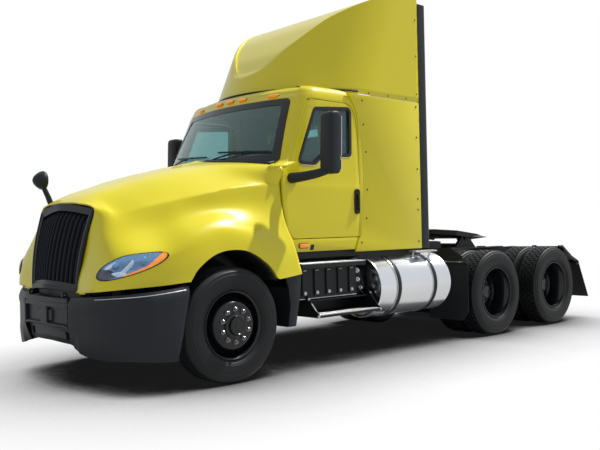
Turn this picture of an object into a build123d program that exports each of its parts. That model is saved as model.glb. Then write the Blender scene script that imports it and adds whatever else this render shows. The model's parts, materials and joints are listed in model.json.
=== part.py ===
"""Day cab tractor unit with three axles: a steered axle, a tandem of driven axles on twin
wheels, a hollow cab with two doors, a tilting hood, a roof fairing and a fifth wheel.

Millimetres. X points forward, Y to the vehicle's left, Z up. The ground is z = 0 and the
origin is under the middle of the vehicle's box. Long positions are measured from the front
axle, so they are written as FA - distance.
"""
from build123d import *
from math import atan2, cos, radians, sin, tan
import os

os.makedirs("parts", exist_ok=True)

SIDES = (("left", 1), ("right", -1))

# ---- Driving dimensions -----------------------------------------------------------------
FA = 2443.0                    # x of the front axle
TANDEM_SPREAD = 1321.0         # between the two driven axles
DRIVE_FRONT = FA - 3888.0      # x of the first driven axle
DRIVE_REAR = DRIVE_FRONT - TANDEM_SPREAD
AXLES = (("front", DRIVE_FRONT), ("rear", DRIVE_REAR))

TYRE_R = 505.0
TYRE_HALF = 140.0              # half of the tyre's section width
RIM_R = 298.0                  # rim flange
STEER_Y = 1025.0               # middle of the steered tyre
HUB_Y = 919.5                  # joint face between the twin wheels
DUAL = 168.5                   # from that face to the middle of either twin tyre
STEER_FACE = 140.0             # steered disc's mounting face, out from the tyre's middle
KINGPIN_Y = 900.0
STUD_CIRCLE_R = 285.75 / 2

RAIL_Y = 430.0                 # outer face of a frame rail
RAIL_TOP = 1000.0
RAIL_DEEP = 270.0
RAIL_FLANGE = 85.0
RAIL_WALL = 8.0
RAIL_FRONT = FA + 640.0
RAIL_REAR = FA - 5560.0

CAB_Y = 1030.0                 # outer face of doors and cab sides
WALL = 65.0                    # thickness of doors and cab walls
CAB_FLOOR = 1100.0
CAB_ROOF = 2735.0
SEAM_Z = 2690.0                 # joint between the side panels and the roof fairing
CAB_BACK = FA - 1800.0
GAP = 6.0                      # shut line round a door

HOOD_PIVOT = (FA + 1160.0, 815.0)
HOOD_SKIN = 20.0

BUMPER_NOSE = FA + 1197.0
BUMPER_LOW = 360.0
BUMPER_TOP = 860.0
NOSE_TOP = 790.0               # top of its middle section, under the grille
NOSE_HALF = 430.0
BUMPER_SKIN = 14.0

PANEL_BACK = FA - 2720.0       # rear edge of the yellow side panels
TRIM_BACK = FA - 2860.0        # rear edge of their black strips

FIFTH_PIVOT = (FA - 4350.0, 1165.0)
FIFTH_TILT = 7.0               # degrees, rear down, as it rests unladen


# ---- Small helpers, used inside a part's own block ----------------------------------------
def block(x0, x1, y0, y1, z0, z1, mode=Mode.ADD):
    """A block between two corners."""
    with Locations(((x0 + x1) / 2, (y0 + y1) / 2, (z0 + z1) / 2)):
        Box(abs(x1 - x0), abs(y1 - y0), abs(z1 - z0), mode=mode)


def side_outline(points, y0, y1, mode=Mode.ADD, radius=0.0):
    """An outline of (x, z) points, extruded from y0 to y1."""
    low, high = sorted((y0, y1))
    with BuildSketch(Plane.XZ.offset(-high)) as outline:
        with BuildLine():
            Polyline(*points, close=True)
        make_face()
        if radius:
            fillet(outline.vertices(), radius)
    extrude(outline.sketch, amount=high - low, mode=mode)


def top_outline(points, z0, z1, mode=Mode.ADD, radius=0.0):
    """An outline of (x, y) points, extruded from z0 up to z1."""
    with BuildSketch(Plane.XY.offset(z0)) as outline:
        with BuildLine():
            Polyline(*points, close=True)
        make_face()
        if radius:
            fillet(outline.vertices(), radius)
    extrude(outline.sketch, amount=z1 - z0, mode=mode)


def front_outline(points, x0, x1, mode=Mode.ADD):
    """An outline of (y, z) points, extruded forward from x0 to x1."""
    with BuildSketch(Plane.YZ.offset(x0)) as outline:
        with BuildLine():
            Polyline(*points, close=True)
        make_face()
    extrude(outline.sketch, amount=x1 - x0, mode=mode)


def turned(points, centre, side=1, mode=Mode.ADD):
    """A profile of (radius, outward distance) points, turned about the axle through centre."""
    plane = Plane(origin=centre, x_dir=(0, 0, 1), z_dir=(-1, 0, 0))
    with BuildSketch(plane) as profile:
        with BuildLine():
            Polyline(*[(r, side * out) for r, out in points], close=True)
        make_face()
    revolve(profile.sketch, axis=Axis(centre, (0, 1, 0)), mode=mode)


def rod(start, end, radius, mode=Mode.ADD):
    """A round bar between two points."""
    direction = Vector(*end) - Vector(*start)
    with BuildSketch(Plane(origin=start, z_dir=direction)) as section:
        Circle(radius)
    extrude(section.sketch, amount=direction.length, mode=mode)


# ---- Wheels -------------------------------------------------------------------------------
# (radius, distance from the tyre's middle)
TYRE_PROFILE = [
    (290, 104), (330, 132), (400, TYRE_HALF), (460, 134), (492, 116), (TYRE_R, 96),
    (TYRE_R, -96), (492, -116), (460, -134), (400, -TYRE_HALF), (330, -132), (290, -104),
]
RIM_PROFILE = [
    (RIM_R, 121), (RIM_R, 112), (288, 104), (288, 76), (264, 46), (264, -46), (288, -76),
    (288, -104), (RIM_R, -112), (RIM_R, -121), (276, -116), (276, -70), (254, -40),
    (254, 40), (276, 70), (276, 116),
]


def disc_profile(face):
    """The disc, from the rim's well out to its mounting face."""
    return [(258, 38), (225, face - 56), (196, face - 12), (176, face), (112, face),
            (112, face - 12), (172, face - 12), (188, face - 22), (214, face - 64), (258, 20)]


def studs(centre, side, out0, out1):
    """Ten wheel nuts on the stud circle."""
    x, y, z = centre
    for count in range(10):
        turn = radians(36 * count + 18)
        dx = STUD_CIRCLE_R * cos(turn)
        dz = STUD_CIRCLE_R * sin(turn)
        rod((x + dx, y + side * out0, z + dz), (x + dx, y + side * out1, z + dz), 16)


# Steered wheels: the disc's face is outboard, the drum behind it turns round the knuckle
for side_name, side in SIDES:
    centre = (FA, side * STEER_Y, TYRE_R)
    with BuildPart() as tyre:
        turned(TYRE_PROFILE, centre, side)
    tyre.part.label = f"steer_tyre_{side_name}"
    export_step(tyre.part, f"parts/steer_tyre_{side_name}.step")

    with BuildPart() as wheel:
        turned(RIM_PROFILE, centre, side)
        turned(disc_profile(STEER_FACE), centre, side)
        # hub with its bearing bore, its cap and the brake drum
        turned([(36, -44), (110, -44), (110, 70), (205, 80), (205, -44), (218, -44), (218, 92),
                (150, 92), (150, 128), (112, 128), (112, 146), (84, 160), (84, 192),
                (0, 200), (0, 150), (36, 150)], centre, side)
        studs(centre, side, 139, 172)
    wheel.part.label = f"steer_wheel_{side_name}"
    export_step(wheel.part, f"parts/steer_wheel_{side_name}.step")

# Driven wheels: two tyres on two deep discs, bolted back to back on one hub
for axle_name, axle_x in AXLES:
    for side_name, side in SIDES:
        middle = (axle_x, side * HUB_Y, TYRE_R)
        name = f"{axle_name}_{side_name}"
        with BuildPart() as tyres:
            for shift in (-DUAL, DUAL):
                turned([(r, out + shift) for r, out in TYRE_PROFILE], middle, side)
        tyres.part.label = f"drive_tyres_{name}"
        export_step(tyres.part, f"parts/drive_tyres_{name}.step")

        with BuildPart() as wheels:
            for shift, face in ((-DUAL, 1), (DUAL, -1)):
                turned([(r, face * out + shift) for r, out in RIM_PROFILE], middle, side)
                turned([(r, face * out + shift) for r, out in disc_profile(DUAL)], middle, side)
            # hub, axle flange and brake drum
            turned([(62, -240), (112, -240), (112, -70), (205, -60), (205, -240), (218, -240),
                    (218, -40), (150, -40), (150, -12), (112, -12), (112, 60), (100, 74),
                    (100, 128), (70, 150), (0, 150), (0, 100), (62, 100)], middle, side)
            studs(middle, side, 11, 44)
        wheels.part.label = f"drive_wheels_{name}"
        export_step(wheels.part, f"parts/drive_wheels_{name}.step")

# ---- Steered axle ---------------------------------------------------------------------------
BOSS_R = 42.0
PIN_R = 20.0
ARM_X = FA - 160.0             # steering arm's ball, straight behind the kingpin
ARM_Y = KINGPIN_Y

with BuildPart() as front_axle:
    # dropped beam with a raised boss at each end
    front_outline([(-905, 442), (-840, 442), (-700, 350), (700, 350), (840, 442), (905, 442),
                   (905, 572), (840, 572), (640, 470), (-640, 470), (-840, 572), (-905, 572)],
                  FA - 42, FA + 42)
    for side_name, side in SIDES:
        block(FA - 70, FA + 70, side * 370, side * 490, 460, 520)
        block(FA - 60, FA + 60, side * 860, side * 960, 430, 580, Mode.SUBTRACT)
        rod((FA, side * KINGPIN_Y, 442), (FA, side * KINGPIN_Y, 572), BOSS_R)
        rod((FA, side * KINGPIN_Y, 430), (FA, side * KINGPIN_Y, 590), PIN_R + 0.5, Mode.SUBTRACT)
        block(FA - 42, FA + 42, side * 830, side * 866, 442, 572)
front_axle.part.label = "front_axle"
export_step(front_axle.part, "parts/front_axle.step")

for side_name, side in SIDES:
    with BuildPart() as knuckle:
        for low, high in ((386, 436), (578, 628)):
            rod((FA, side * KINGPIN_Y, low), (FA, side * KINGPIN_Y, high), 46)
            block(FA - 46, FA + 46, side * KINGPIN_Y, side * 975, low, high)
        block(FA - 60, FA + 60, side * 948, side * 976, 386, 628)
        rod((FA, side * KINGPIN_Y, 386), (FA, side * KINGPIN_Y, 628), PIN_R)
        rod((FA, side * 960, TYRE_R), (FA, side * 1172, TYRE_R), 35)
        # steering arm, back to the track rod's ball
        top_outline([(FA - 20, side * 948), (FA + 20, side * 870), (ARM_X, side * (ARM_Y - 26)),
                     (ARM_X - 26, side * ARM_Y), (ARM_X, side * (ARM_Y + 26))], 408, 430)
        rod((ARM_X, side * ARM_Y, 366), (ARM_X, side * ARM_Y, 420), 12)
    knuckle.part.label = f"knuckle_{side_name}"
    export_step(knuckle.part, f"parts/knuckle_{side_name}.step")

with BuildPart() as tie_rod:
    rod((ARM_X, -ARM_Y + 20, 386), (ARM_X, ARM_Y - 20, 386), 15)
    for side_name, side in SIDES:
        rod((ARM_X, side * ARM_Y, 370), (ARM_X, side * ARM_Y, 402), 28)
        rod((ARM_X, side * ARM_Y, 360), (ARM_X, side * ARM_Y, 410), 12.5, Mode.SUBTRACT)
tie_rod.part.label = "tie_rod"
export_step(tie_rod.part, "parts/tie_rod.step")

with BuildPart() as front_springs:
    # one arched pack of leaves a side, hung from the rail at both ends
    for side_name, side in SIDES:
        y0, y1 = side * 385, side * 475
        side_outline([(FA - 700, 596), (FA - 350, 550), (FA - 80, 520), (FA + 80, 520),
                      (FA + 350, 550), (FA + 700, 596), (FA + 700, 614), (FA + 350, 590),
                      (FA, 575), (FA - 350, 590), (FA - 700, 614)], y0, y1)
        for end, top in ((-1, RAIL_TOP - RAIL_DEEP), (1, 650)):
            side_outline([(FA + end * 660, 600), (FA + end * 730, 600),
                          (FA + end * 745, top), (FA + end * 645, top)],
                         side * 390, side * 421)
front_springs.part.label = "front_springs"
export_step(front_springs.part, "parts/front_springs.step")

# ---- Frame ----------------------------------------------------------------------------------
RAIL_LOW = RAIL_TOP - RAIL_DEEP
CROSSMEMBERS = [FA - 2050, FA - 3150, FA - 4548, FA - 5500]

with BuildPart() as frame:
    for side_name, side in SIDES:
        block(RAIL_REAR, RAIL_FRONT, side * (RAIL_Y - RAIL_WALL), side * RAIL_Y,
              RAIL_LOW, RAIL_TOP)
        for z0, z1 in ((RAIL_LOW, RAIL_LOW + RAIL_WALL), (RAIL_TOP - RAIL_WALL, RAIL_TOP)):
            block(RAIL_REAR, RAIL_FRONT, side * (RAIL_Y - RAIL_FLANGE), side * RAIL_Y, z0, z1)
    for x in CROSSMEMBERS:
        block(x - 6, x + 6, -RAIL_Y + RAIL_WALL, RAIL_Y - RAIL_WALL, 820, 980)
        for z in (820, 968):
            block(x - 45, x + 6, -RAIL_Y + RAIL_WALL, RAIL_Y - RAIL_WALL, z, z + 12)
    # front horns, with the bumper's seat, the radiator's sill and the hood's pivot eyes
    for side_name, side in SIDES:
        block(RAIL_FRONT - 80, FA + 1080, side * 330, side * 421, 650, 738)
        eye_x, eye_z = HOOD_PIVOT
        side_outline([(FA + 960, 650), (FA + 1080, 650), (eye_x - 10, 750), (eye_x - 2, 792),
                      (eye_x + 20, 798), (eye_x + 20, eye_z + 18), (eye_x - 20, eye_z + 18),
                      (eye_x - 40, 780), (FA + 960, 738)], side * 330, side * 350)
        rod((eye_x, side * 320, eye_z), (eye_x, side * 360, eye_z), 10.5, Mode.SUBTRACT)
    block(FA + 650, FA + 760, -421, 421, 650, 738)
frame.part.label = "frame"
export_step(frame.part, "parts/frame.step")

# ---- Engine, gearbox and shafts ----------------------------------------------------------------
with BuildPart() as engine:
    block(FA - 700, FA + 560, -330, 330, 800, 1450)
    block(FA - 700, FA + 560, -200, 200, 600, 800)
engine.part.label = "engine_block"
export_step(engine.part, "parts/engine_block.step")

with BuildPart() as drive_line:
    side_outline([(FA - 700, 620), (FA - 1150, 660), (FA - 1650, 700), (FA - 1650, 940),
                  (FA - 1150, 980), (FA - 700, 1040)], -210, 210)
    rod((FA - 1640, 0, 800), (DRIVE_FRONT + 262, 0, 600), 50)
    rod((DRIVE_FRONT + 270, 0, 600), (DRIVE_FRONT + 240, 0, 600), 70)
drive_line.part.label = "drive_line"
export_step(drive_line.part, "parts/drive_line.step")

with BuildPart() as radiator:
    block(FA + 660, FA + 750, -400, 400, 738, 1440)
radiator.part.label = "radiator"
export_step(radiator.part, "parts/radiator.step")

# ---- Driven axles and their suspension ------------------------------------------------------------
with BuildPart() as drive_axles:
    for axle_name, x in AXLES:
        rod((x, -HUB_Y - 98, TYRE_R), (x, HUB_Y + 98, TYRE_R), 60)
        rod((x, -640, TYRE_R), (x, 640, TYRE_R), 72)
        with Locations((x, 0, TYRE_R)):
            Sphere(210)
        rod((x + 100, 0, 600), (x + 240, 0, 600), 90)
        # seats on the suspension's arms
        for side_name, side in SIDES:
            block(x - 60, x + 60, side * 445, side * 525, 431, TYRE_R)
    # short shaft between the two axles
    rod((DRIVE_FRONT - 150, 0, 570), (DRIVE_REAR + 200, 0, 600), 45)
drive_axles.part.label = "drive_axles"
export_step(drive_axles.part, "parts/drive_axles.step")

with BuildPart() as rear_suspension:
    for axle_name, x in AXLES:
        for side_name, side in SIDES:
            y0, y1 = side * 440, side * 530
            # hanger on the rail, arm under the axle, air spring under a bracket
            block(x + 480, x + 620, side * RAIL_Y, y1, 590, 960)
            side_outline([(x + 480, 590), (x + 620, 590), (x + 620, 680), (x + 480, 680)], y0, y1)
            side_outline([(x + 600, 590), (x + 600, 640), (x + 220, 480), (x + 80, 431),
                          (x - 480, 431), (x - 480, 390), (x + 60, 390), (x + 240, 440)], y0, y1)
            block(x - 480, x - 240, side * 285, side * 530, 398, 431)
            rod((x - 360, side * 400, 431), (x - 360, side * 400, 720), 112)
            block(x - 450, x - 270, side * 345, side * 460, 720, RAIL_TOP - RAIL_DEEP)
rear_suspension.part.label = "rear_suspension"
export_step(rear_suspension.part, "parts/rear_suspension.step")

# ---- Fuel tanks and step boxes ---------------------------------------------------------------------
TANK_R = 325.0
TANK_Y = 830.0
TANK_Z = 690.0
TANK_FRONT = FA - 1891.0
TANK_REAR = FA - 3069.0

with BuildPart() as fuel_tanks:
    for side_name, side in SIDES:
        rod((TANK_REAR, side * TANK_Y, TANK_Z), (TANK_FRONT, side * TANK_Y, TANK_Z), TANK_R)
        rod((FA - 2700, side * (TANK_Y + 60), TANK_Z + 300),
            (FA - 2700, side * (TANK_Y + 60), TANK_Z + 355), 45)
fuel_tanks.part.label = "fuel_tanks"
export_step(fuel_tanks.part, "parts/fuel_tanks.step")

with BuildPart() as tank_straps:
    for side_name, side in SIDES:
        for x in (FA - 2180, FA - 2780):
            rod((x - 30, side * TANK_Y, TANK_Z), (x + 30, side * TANK_Y, TANK_Z), TANK_R + 6)
            block(x - 30, x + 30, side * RAIL_Y, side * (TANK_Y - 200), TANK_Z - 260, TANK_Z + 270)
    for side_name, side in SIDES:
        rod((TANK_REAR - 5, side * TANK_Y, TANK_Z), (TANK_FRONT + 5, side * TANK_Y, TANK_Z),
            TANK_R, Mode.SUBTRACT)
tank_straps.part.label = "tank_straps"
export_step(tank_straps.part, "parts/tank_straps.step")

STEP_FRONT = FA - 985.0        # ends of the lower tread
STEP_BACK = FA - 1860.0
TREAD_FRONT = FA - 830.0       # ends of the tread on the box
TREAD_BACK = FA - 1700.0
BOX_FRONT = FA - 880.0
BOX_BACK = FA - 1680.0
BOX_OUT = 1000.0
UPPER_OUT = 1120.0
LOWER_OUT = 1170.0
RIBS = 5
RIB_WIDE = 62.0
DRYER = (FA - 1775.0, 880.0, 70.0)         # air dryer behind the left box: x, y, radius
with BuildPart() as step_boxes:
    for side_name, side in SIDES:
        # battery box with pressed ribs, and the tread on top of it
        block(BOX_BACK, BOX_FRONT, side * RAIL_Y, side * BOX_OUT, 640, 960)
        for rib in range(RIBS):
            x = BOX_BACK + (rib + 0.5) * (BOX_FRONT - BOX_BACK) / RIBS
            block(x - RIB_WIDE / 2, x + RIB_WIDE / 2, side * BOX_OUT, side * (BOX_OUT + 14), 672, 925)
        block(TREAD_BACK, TREAD_FRONT, side * 800, side * UPPER_OUT, 960, 990)
        block(TREAD_BACK, TREAD_FRONT, side * (UPPER_OUT - 12), side * UPPER_OUT, 945, 960)
        # lower tread, and both treads' rows of grip slots
        block(STEP_BACK, STEP_FRONT, side * 800, side * LOWER_OUT, 470, 500)
        with Locations(((STEP_BACK + STEP_FRONT) / 2, side * (LOWER_OUT - 70), 500),
                       ((TREAD_BACK + TREAD_FRONT) / 2, side * (UPPER_OUT - 62), 990)):
            with GridLocations(68, 52, 12, 2):
                Box(44, 24, 16, mode=Mode.SUBTRACT)
        # end brackets curve from the box down to the lower tread
        for x in (STEP_BACK, STEP_FRONT - 16):
            front_outline([(side * 800, 470), (side * LOWER_OUT, 470), (side * LOWER_OUT, 512),
                           (side * 1128, 540), (side * 1072, 600), (side * 1035, 650),
                           (side * BOX_OUT, 680), (side * 800, 680)], x, x + 16)
    dryer_x, dryer_y, dryer_r = DRYER
    rod((dryer_x, dryer_y, 640), (dryer_x, dryer_y, 880), dryer_r)
    rod((dryer_x, dryer_y, 880), (dryer_x, dryer_y, 905), dryer_r - 25)
    block(dryer_x - 40, BOX_BACK, dryer_y - 30, dryer_y + 30, 700, 780)
step_boxes.part.label = "step_boxes"
export_step(step_boxes.part, "parts/step_boxes.step")

# ---- Bumper ----------------------------------------------------------------------------------------
# half outline in plan, from the middle of the nose to the rear end of the side
BUMPER_PLAN = [(BUMPER_NOSE, 0), (FA + 1193, 200), (FA + 1182, 420), (FA + 1148, 600),
               (FA + 1095, 800), (FA + 1010, 960), (FA + 930, 1062), (FA + 800, 1150),
               (FA + 690, 1166), (FA + 590, 1172), (FA + 459, 1172)]
CHIN_TOP = 555.0               # below this the middle leans back
CHIN_LOW = 400.0
CHIN_BACK = 75.0
POCKET = (60.0, 425.0, 562.0, 708.0)       # recess beside the middle: y, y, z, z
POCKET_DEEP = 30.0
SEAM = 8.0                     # groove between the middle section and the sides


def mirrored(points):
    """Close a half outline of (x, y) by its mirror image across the middle plane."""
    return points + [(x, -y) for x, y in reversed(points) if y > 0]


def inset(points, depth):
    """The same half outline, moved in by a wall's thickness."""
    result = []
    for x, y in points:
        back = depth if x > FA + 700 else depth * 0.2
        result.append((x - back, max(y - depth, 0) if y > 0 else 0))
    return result


with BuildPart() as bumper:
    top_outline(mirrored(BUMPER_PLAN), BUMPER_LOW, BUMPER_TOP)
    hollow = mirrored(inset(BUMPER_PLAN[:-1], BUMPER_SKIN) + [(FA + 300, 1172 - BUMPER_SKIN)])
    top_outline(hollow, BUMPER_LOW - 10, BUMPER_TOP - BUMPER_SKIN, Mode.SUBTRACT)
    # open at the top behind a narrow shelf
    shelf = mirrored(inset(BUMPER_PLAN[:-1], 40) + [(FA + 300, 1172 - 40)])
    top_outline(shelf, BUMPER_TOP - 40, BUMPER_TOP + 10, Mode.SUBTRACT)
    block(FA + 900, FA + 1300, -NOSE_HALF, NOSE_HALF, NOSE_TOP, BUMPER_TOP + 10, Mode.SUBTRACT)
    # the sides end on a slant in front of the tyre, and the lower edge rises towards the middle
    side_outline([(FA + 300, 200), (FA + 620, 200), (FA + 590, 272), (FA + 459, 868),
                  (FA + 300, 868)], -1300, 1300, Mode.SUBTRACT)
    # chin: the middle's lower part leans back, with two towing slots
    nose_back = BUMPER_NOSE - BUMPER_SKIN
    block(nose_back - CHIN_BACK, BUMPER_NOSE + 10, -NOSE_HALF, NOSE_HALF, BUMPER_LOW - 10, CHIN_TOP,
          Mode.SUBTRACT)
    chin = [(nose_back - 2, CHIN_TOP + 10), (nose_back - 16, CHIN_TOP + 10),
            (nose_back - 16 - CHIN_BACK, CHIN_LOW), (nose_back - 2 - CHIN_BACK, CHIN_LOW)]
    side_outline(chin, -NOSE_HALF, NOSE_HALF)
    for side_name, side in SIDES:
        y0, y1, z0, z1 = POCKET
        pocket_back = FA + 1176 - POCKET_DEEP
        block(pocket_back - 10, FA + 1180, side * (y0 - 10), side * (y1 + 4), z0 - 10, z1 + 10)
        block(pocket_back, FA + 1300, side * y0, side * y1, z0, z1, Mode.SUBTRACT)
        block(FA + 1050, FA + 1300, side * 310, side * 370, 440, 500, Mode.SUBTRACT)
        # shut groove between the sections
        block(FA + 1172, FA + 1300, side * (NOSE_HALF + 4), side * (NOSE_HALF + 4 + SEAM),
              BUMPER_LOW - 10, BUMPER_TOP + 10, Mode.SUBTRACT)
    # brackets to the frame's front horns
    for side_name, side in SIDES:
        block(FA + 1060, FA + 1142, side * 360, side * 410, 560, 640)
bumper.part.label = "bumper"
export_step(bumper.part, "parts/bumper.step")

# ---- Hood --------------------------------------------------------------------------------------------
# Control net of the hood's left half. Each row runs from the crown down to the lower edge: crown,
# shoulder, crease, waist, bulge, flank, edge. Columns: distance ahead of the front axle, y, z.
HOOD_NET = [
    [(1030, 0, 1600), (1010, 300, 1588), (965, 519, 1533), (1005, 500, 1330), (1050, 475, 1100),
     (1085, 455, 950), (1100, 450, 868)],
    [(950, 0, 1645), (930, 320, 1625), (885, 585, 1512), (960, 670, 1330), (1030, 800, 1090),
     (1075, 780, 970), (1085, 780, 868)],
    [(830, 0, 1693), (810, 340, 1670), (787, 650, 1490), (830, 780, 1330), (912, 930, 1142),
     (930, 925, 1000), (950, 930, 868)],
    [(600, 0, 1765), (590, 400, 1735), (570, 760, 1545), (585, 865, 1360), (620, 1050, 1165),
     (650, 1075, 1060), (670, 1090, 868)],
    [(374, 0, 1835), (370, 460, 1800), (360, 840, 1595), (360, 930, 1430), (370, 1105, 1300),
     (380, 1155, 1120), (390, 1165, 868)],
    [(100, 0, 1910), (100, 500, 1865), (90, 915, 1655), (90, 955, 1500), (90, 1100, 1395),
     (90, 1165, 1250), (90, 1175, 868)],
    [(-217, 0, 1980), (-220, 520, 1925), (-210, 950, 1708), (-200, 985, 1530), (-200, 1100, 1375),
     (-200, 1168, 1230), (-200, 1175, 868)],
    [(-360, 0, 2012), (-400, 540, 1955), (-470, 980, 1730), (-460, 1005, 1530), (-460, 1090, 1330),
     (-460, 1160, 1150), (-470, 1170, 868)],
    [(-840, 0, 2080), (-840, 560, 2010), (-840, 1000, 1745), (-840, 1022, 1550), (-840, 1065, 1370),
     (-840, 1120, 1150), (-840, 1140, 868)],
]
NOSE_LOW = 1100.0              # front section at the hood's lower edge, ahead of the axle
NOSE_LEAN = atan2(135, 691)    # it leans back as it rises
SECTION_AHEAD = (860, 740, 600, 430, 240, 0, -240, -450, -840)


def curve_through(points, share):
    """A point on a smooth curve through the points, share of the way along it."""
    place = share * (len(points) - 1)
    span = min(int(place), len(points) - 2)
    u = place - span
    b, c = points[span], points[span + 1]
    a = points[span - 1] if span else tuple(2 * p - q for p, q in zip(b, c))
    d = points[span + 2] if span + 2 < len(points) else tuple(2 * q - p for p, q in zip(b, c))
    return tuple(0.5 * (2 * q + (r - p) * u + (2 * p - 5 * q + 4 * r - w) * u ** 2
                        + (3 * q - p - 3 * r + w) * u ** 3) for p, q, r, w in zip(a, b, c, d))


def hood_section(low, lean):
    """Half section (y, z) where the net meets a plane across the hood that leans back."""
    half = []
    for line in range(2 * len(HOOD_NET[0]) - 1):
        across = line / (2 * len(HOOD_NET[0]) - 2)
        run = [curve_through(row, across) for row in HOOD_NET]
        near, far = 0.0, 1.0
        for _ in range(24):
            share = (near + far) / 2
            x, y, z = curve_through(run, share)
            if x > low - (z - BUMPER_TOP) * tan(lean):
                near = share
            else:
                far = share
        half.append((y if line else 0, z))
    return half


def hood_body(skin):
    """The hood's body inside a skin, as one ruled loft."""
    planes = [(NOSE_LOW - 2, NOSE_LEAN)] + [(ahead, 0) for ahead in SECTION_AHEAD]
    with BuildPart() as body:
        for ahead, lean in planes:
            half = hood_section(ahead, lean)
            drawn = [(max(y - skin * min(1, k / 4), 0), z - skin * max(0.0, 1 - k / 8))
                     for k, (y, z) in enumerate(half)]
            drawn[-1] = (drawn[-1][0], 860 - 2 * skin)
            ring = drawn + [(-y, z) for y, z in reversed(drawn) if y > 0]
            plane = Plane(origin=(FA + ahead, 0, BUMPER_TOP), x_dir=(0, 1, 0),
                          z_dir=(cos(lean), 0, sin(lean)))
            with BuildSketch(plane):
                with BuildLine():
                    Polyline(*[(y, (z - BUMPER_TOP) / cos(lean)) for y, z in ring], close=True)
                make_face()
        loft(ruled=True)
    return body.part


# wheel arch in the fender's side, and the fender's slanted rear edge
ARCH = [(FA + 469, 700), (FA + 469, 844), (FA + 356, 1018), (FA + 201, 1119), (FA + 21, 1155),
        (FA - 175, 1130), (FA - 376, 1015), (FA - 500, 880), (FA - 535, 817), (FA - 535, 700)]
HOOD_REAR = [(FA - 900, 2200), (FA - 680, 2200), (FA - 680, 1390), (FA - 815, 920),
             (FA - 500, 920), (FA - 500, 700), (FA - 900, 700)]
# rear edge of the hood's top, in front of the windscreen: half outline in plan
COWL_PLAN = [(FA - 425, 0), (FA - 440, 250), (FA - 500, 550), (FA - 590, 800), (FA - 680, 960),
             (FA - 900, 960)]

with BuildPart() as hood:
    add(hood_body(0))
    add(hood_body(HOOD_SKIN), mode=Mode.SUBTRACT)
    side_outline(ARCH, -1300, 1300, Mode.SUBTRACT)
    side_outline(HOOD_REAR, -1300, 1300, Mode.SUBTRACT)
    top_outline(mirrored(COWL_PLAN), 1780, 2200, Mode.SUBTRACT)
    block(FA - 900, FA + 1300, -1300, 1300, 700, BUMPER_TOP + 8, Mode.SUBTRACT)
    # lower bar behind the grille, and the arms to the pivot eyes
    block(FA + 1030, FA + 1050, -775, 775, 880, 950)
    for side_name, side in SIDES:
        pivot_x, pivot_z = HOOD_PIVOT
        rod((pivot_x, side * 352, pivot_z), (pivot_x, side * 392, pivot_z), 18)
        rod((pivot_x, side * 326, pivot_z), (pivot_x, side * 352, pivot_z), 10)
        side_outline([(pivot_x + 8, pivot_z + 15), (FA + 1086, 858), (FA + 1050, 945),
                      (FA + 1030, 945), (FA + 1040, 835), (pivot_x - 8, pivot_z - 15)],
                     side * 356, side * 388)
hood.part.label = "hood"
export_step(hood.part, "parts/hood.step")

# ---- Grille, headlamps and the hood's black fittings -------------------------------------------------
GRILLE_BARS = 13
GRILLE_SLOPE = 138 / 691       # run back for each unit of rise


def grille_plan(z, proud):
    """Half outline in plan of the grille's V at one height, standing proud of its frame."""
    back = (z - 870) * GRILLE_SLOPE
    wide = 450 + (z - 842) * 69 / 691
    return [(FA + 1200 - back * 1.15 + proud, 0), (FA + 1180 - back * 1.15 + proud, 150),
            (FA + 1103 - back + proud, wide)]


def grille_solid(z_low, z_high, proud, depth):
    """Ruled loft between the V at two heights, as deep as asked."""
    with BuildPart() as solid:
        for z in (z_low, z_high):
            half = grille_plan(z, proud)
            rear = [(x - depth, y) for x, y in reversed(half)]
            ring = half + rear + [(x, -y) for x, y in reversed(rear) if y > 0]
            ring += [(x, -y) for x, y in reversed(half) if y > 0]
            with BuildSketch(Plane.XY.offset(z)):
                with BuildLine():
                    Polyline(*ring, close=True)
                make_face()
        loft(ruled=True)
    return solid.part


with BuildPart() as grille:
    add(grille_solid(868, 1612, 0, 90))
    # open inside the surround, crossed by upright bars
    front_outline([(-395, 935), (395, 935), (455, 1490), (0, 1560), (-455, 1490)],
                  FA + 700, FA + 1400, Mode.SUBTRACT)
    # the top follows the hood's crown
    front_outline([(0, 1612), (330, 1588), (530, 1533), (700, 1533), (700, 1900), (-700, 1900),
                   (-700, 1533), (-530, 1533), (-330, 1588)], FA + 700, FA + 1400, Mode.SUBTRACT)
    for count in range(GRILLE_BARS):
        y = (count - (GRILLE_BARS - 1) / 2) * 62
        front = FA + 1194 - abs(y) * 0.2
        side_outline([(front - 12, 925), (front - 150, 1580 - abs(y) * 0.2),
                      (front - 180, 1580 - abs(y) * 0.2), (front - 42, 925)], y - 9, y + 9)
    # it seats on the hood's front face
    add(hood_body(0), mode=Mode.SUBTRACT)
grille.part.label = "grille"
export_step(grille.part, "parts/grille.step")

with BuildPart() as headlamps:
    # set into the hood's front corner, following its skin
    for side_name, side in SIDES:
        front_outline([(side * 760, 950), (side * 800, 940), (side * 930, 960), (side * 1080, 1060),
                       (side * 1120, 1140), (side * 1000, 1150), (side * 860, 1100),
                       (side * 770, 1010)], FA + 500, FA + 1090)
    add(hood_body(-6), mode=Mode.INTERSECT)
    add(hood_body(0), mode=Mode.SUBTRACT)
headlamps.part.label = "headlamps"
export_step(headlamps.part, "parts/headlamps.step")

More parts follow.
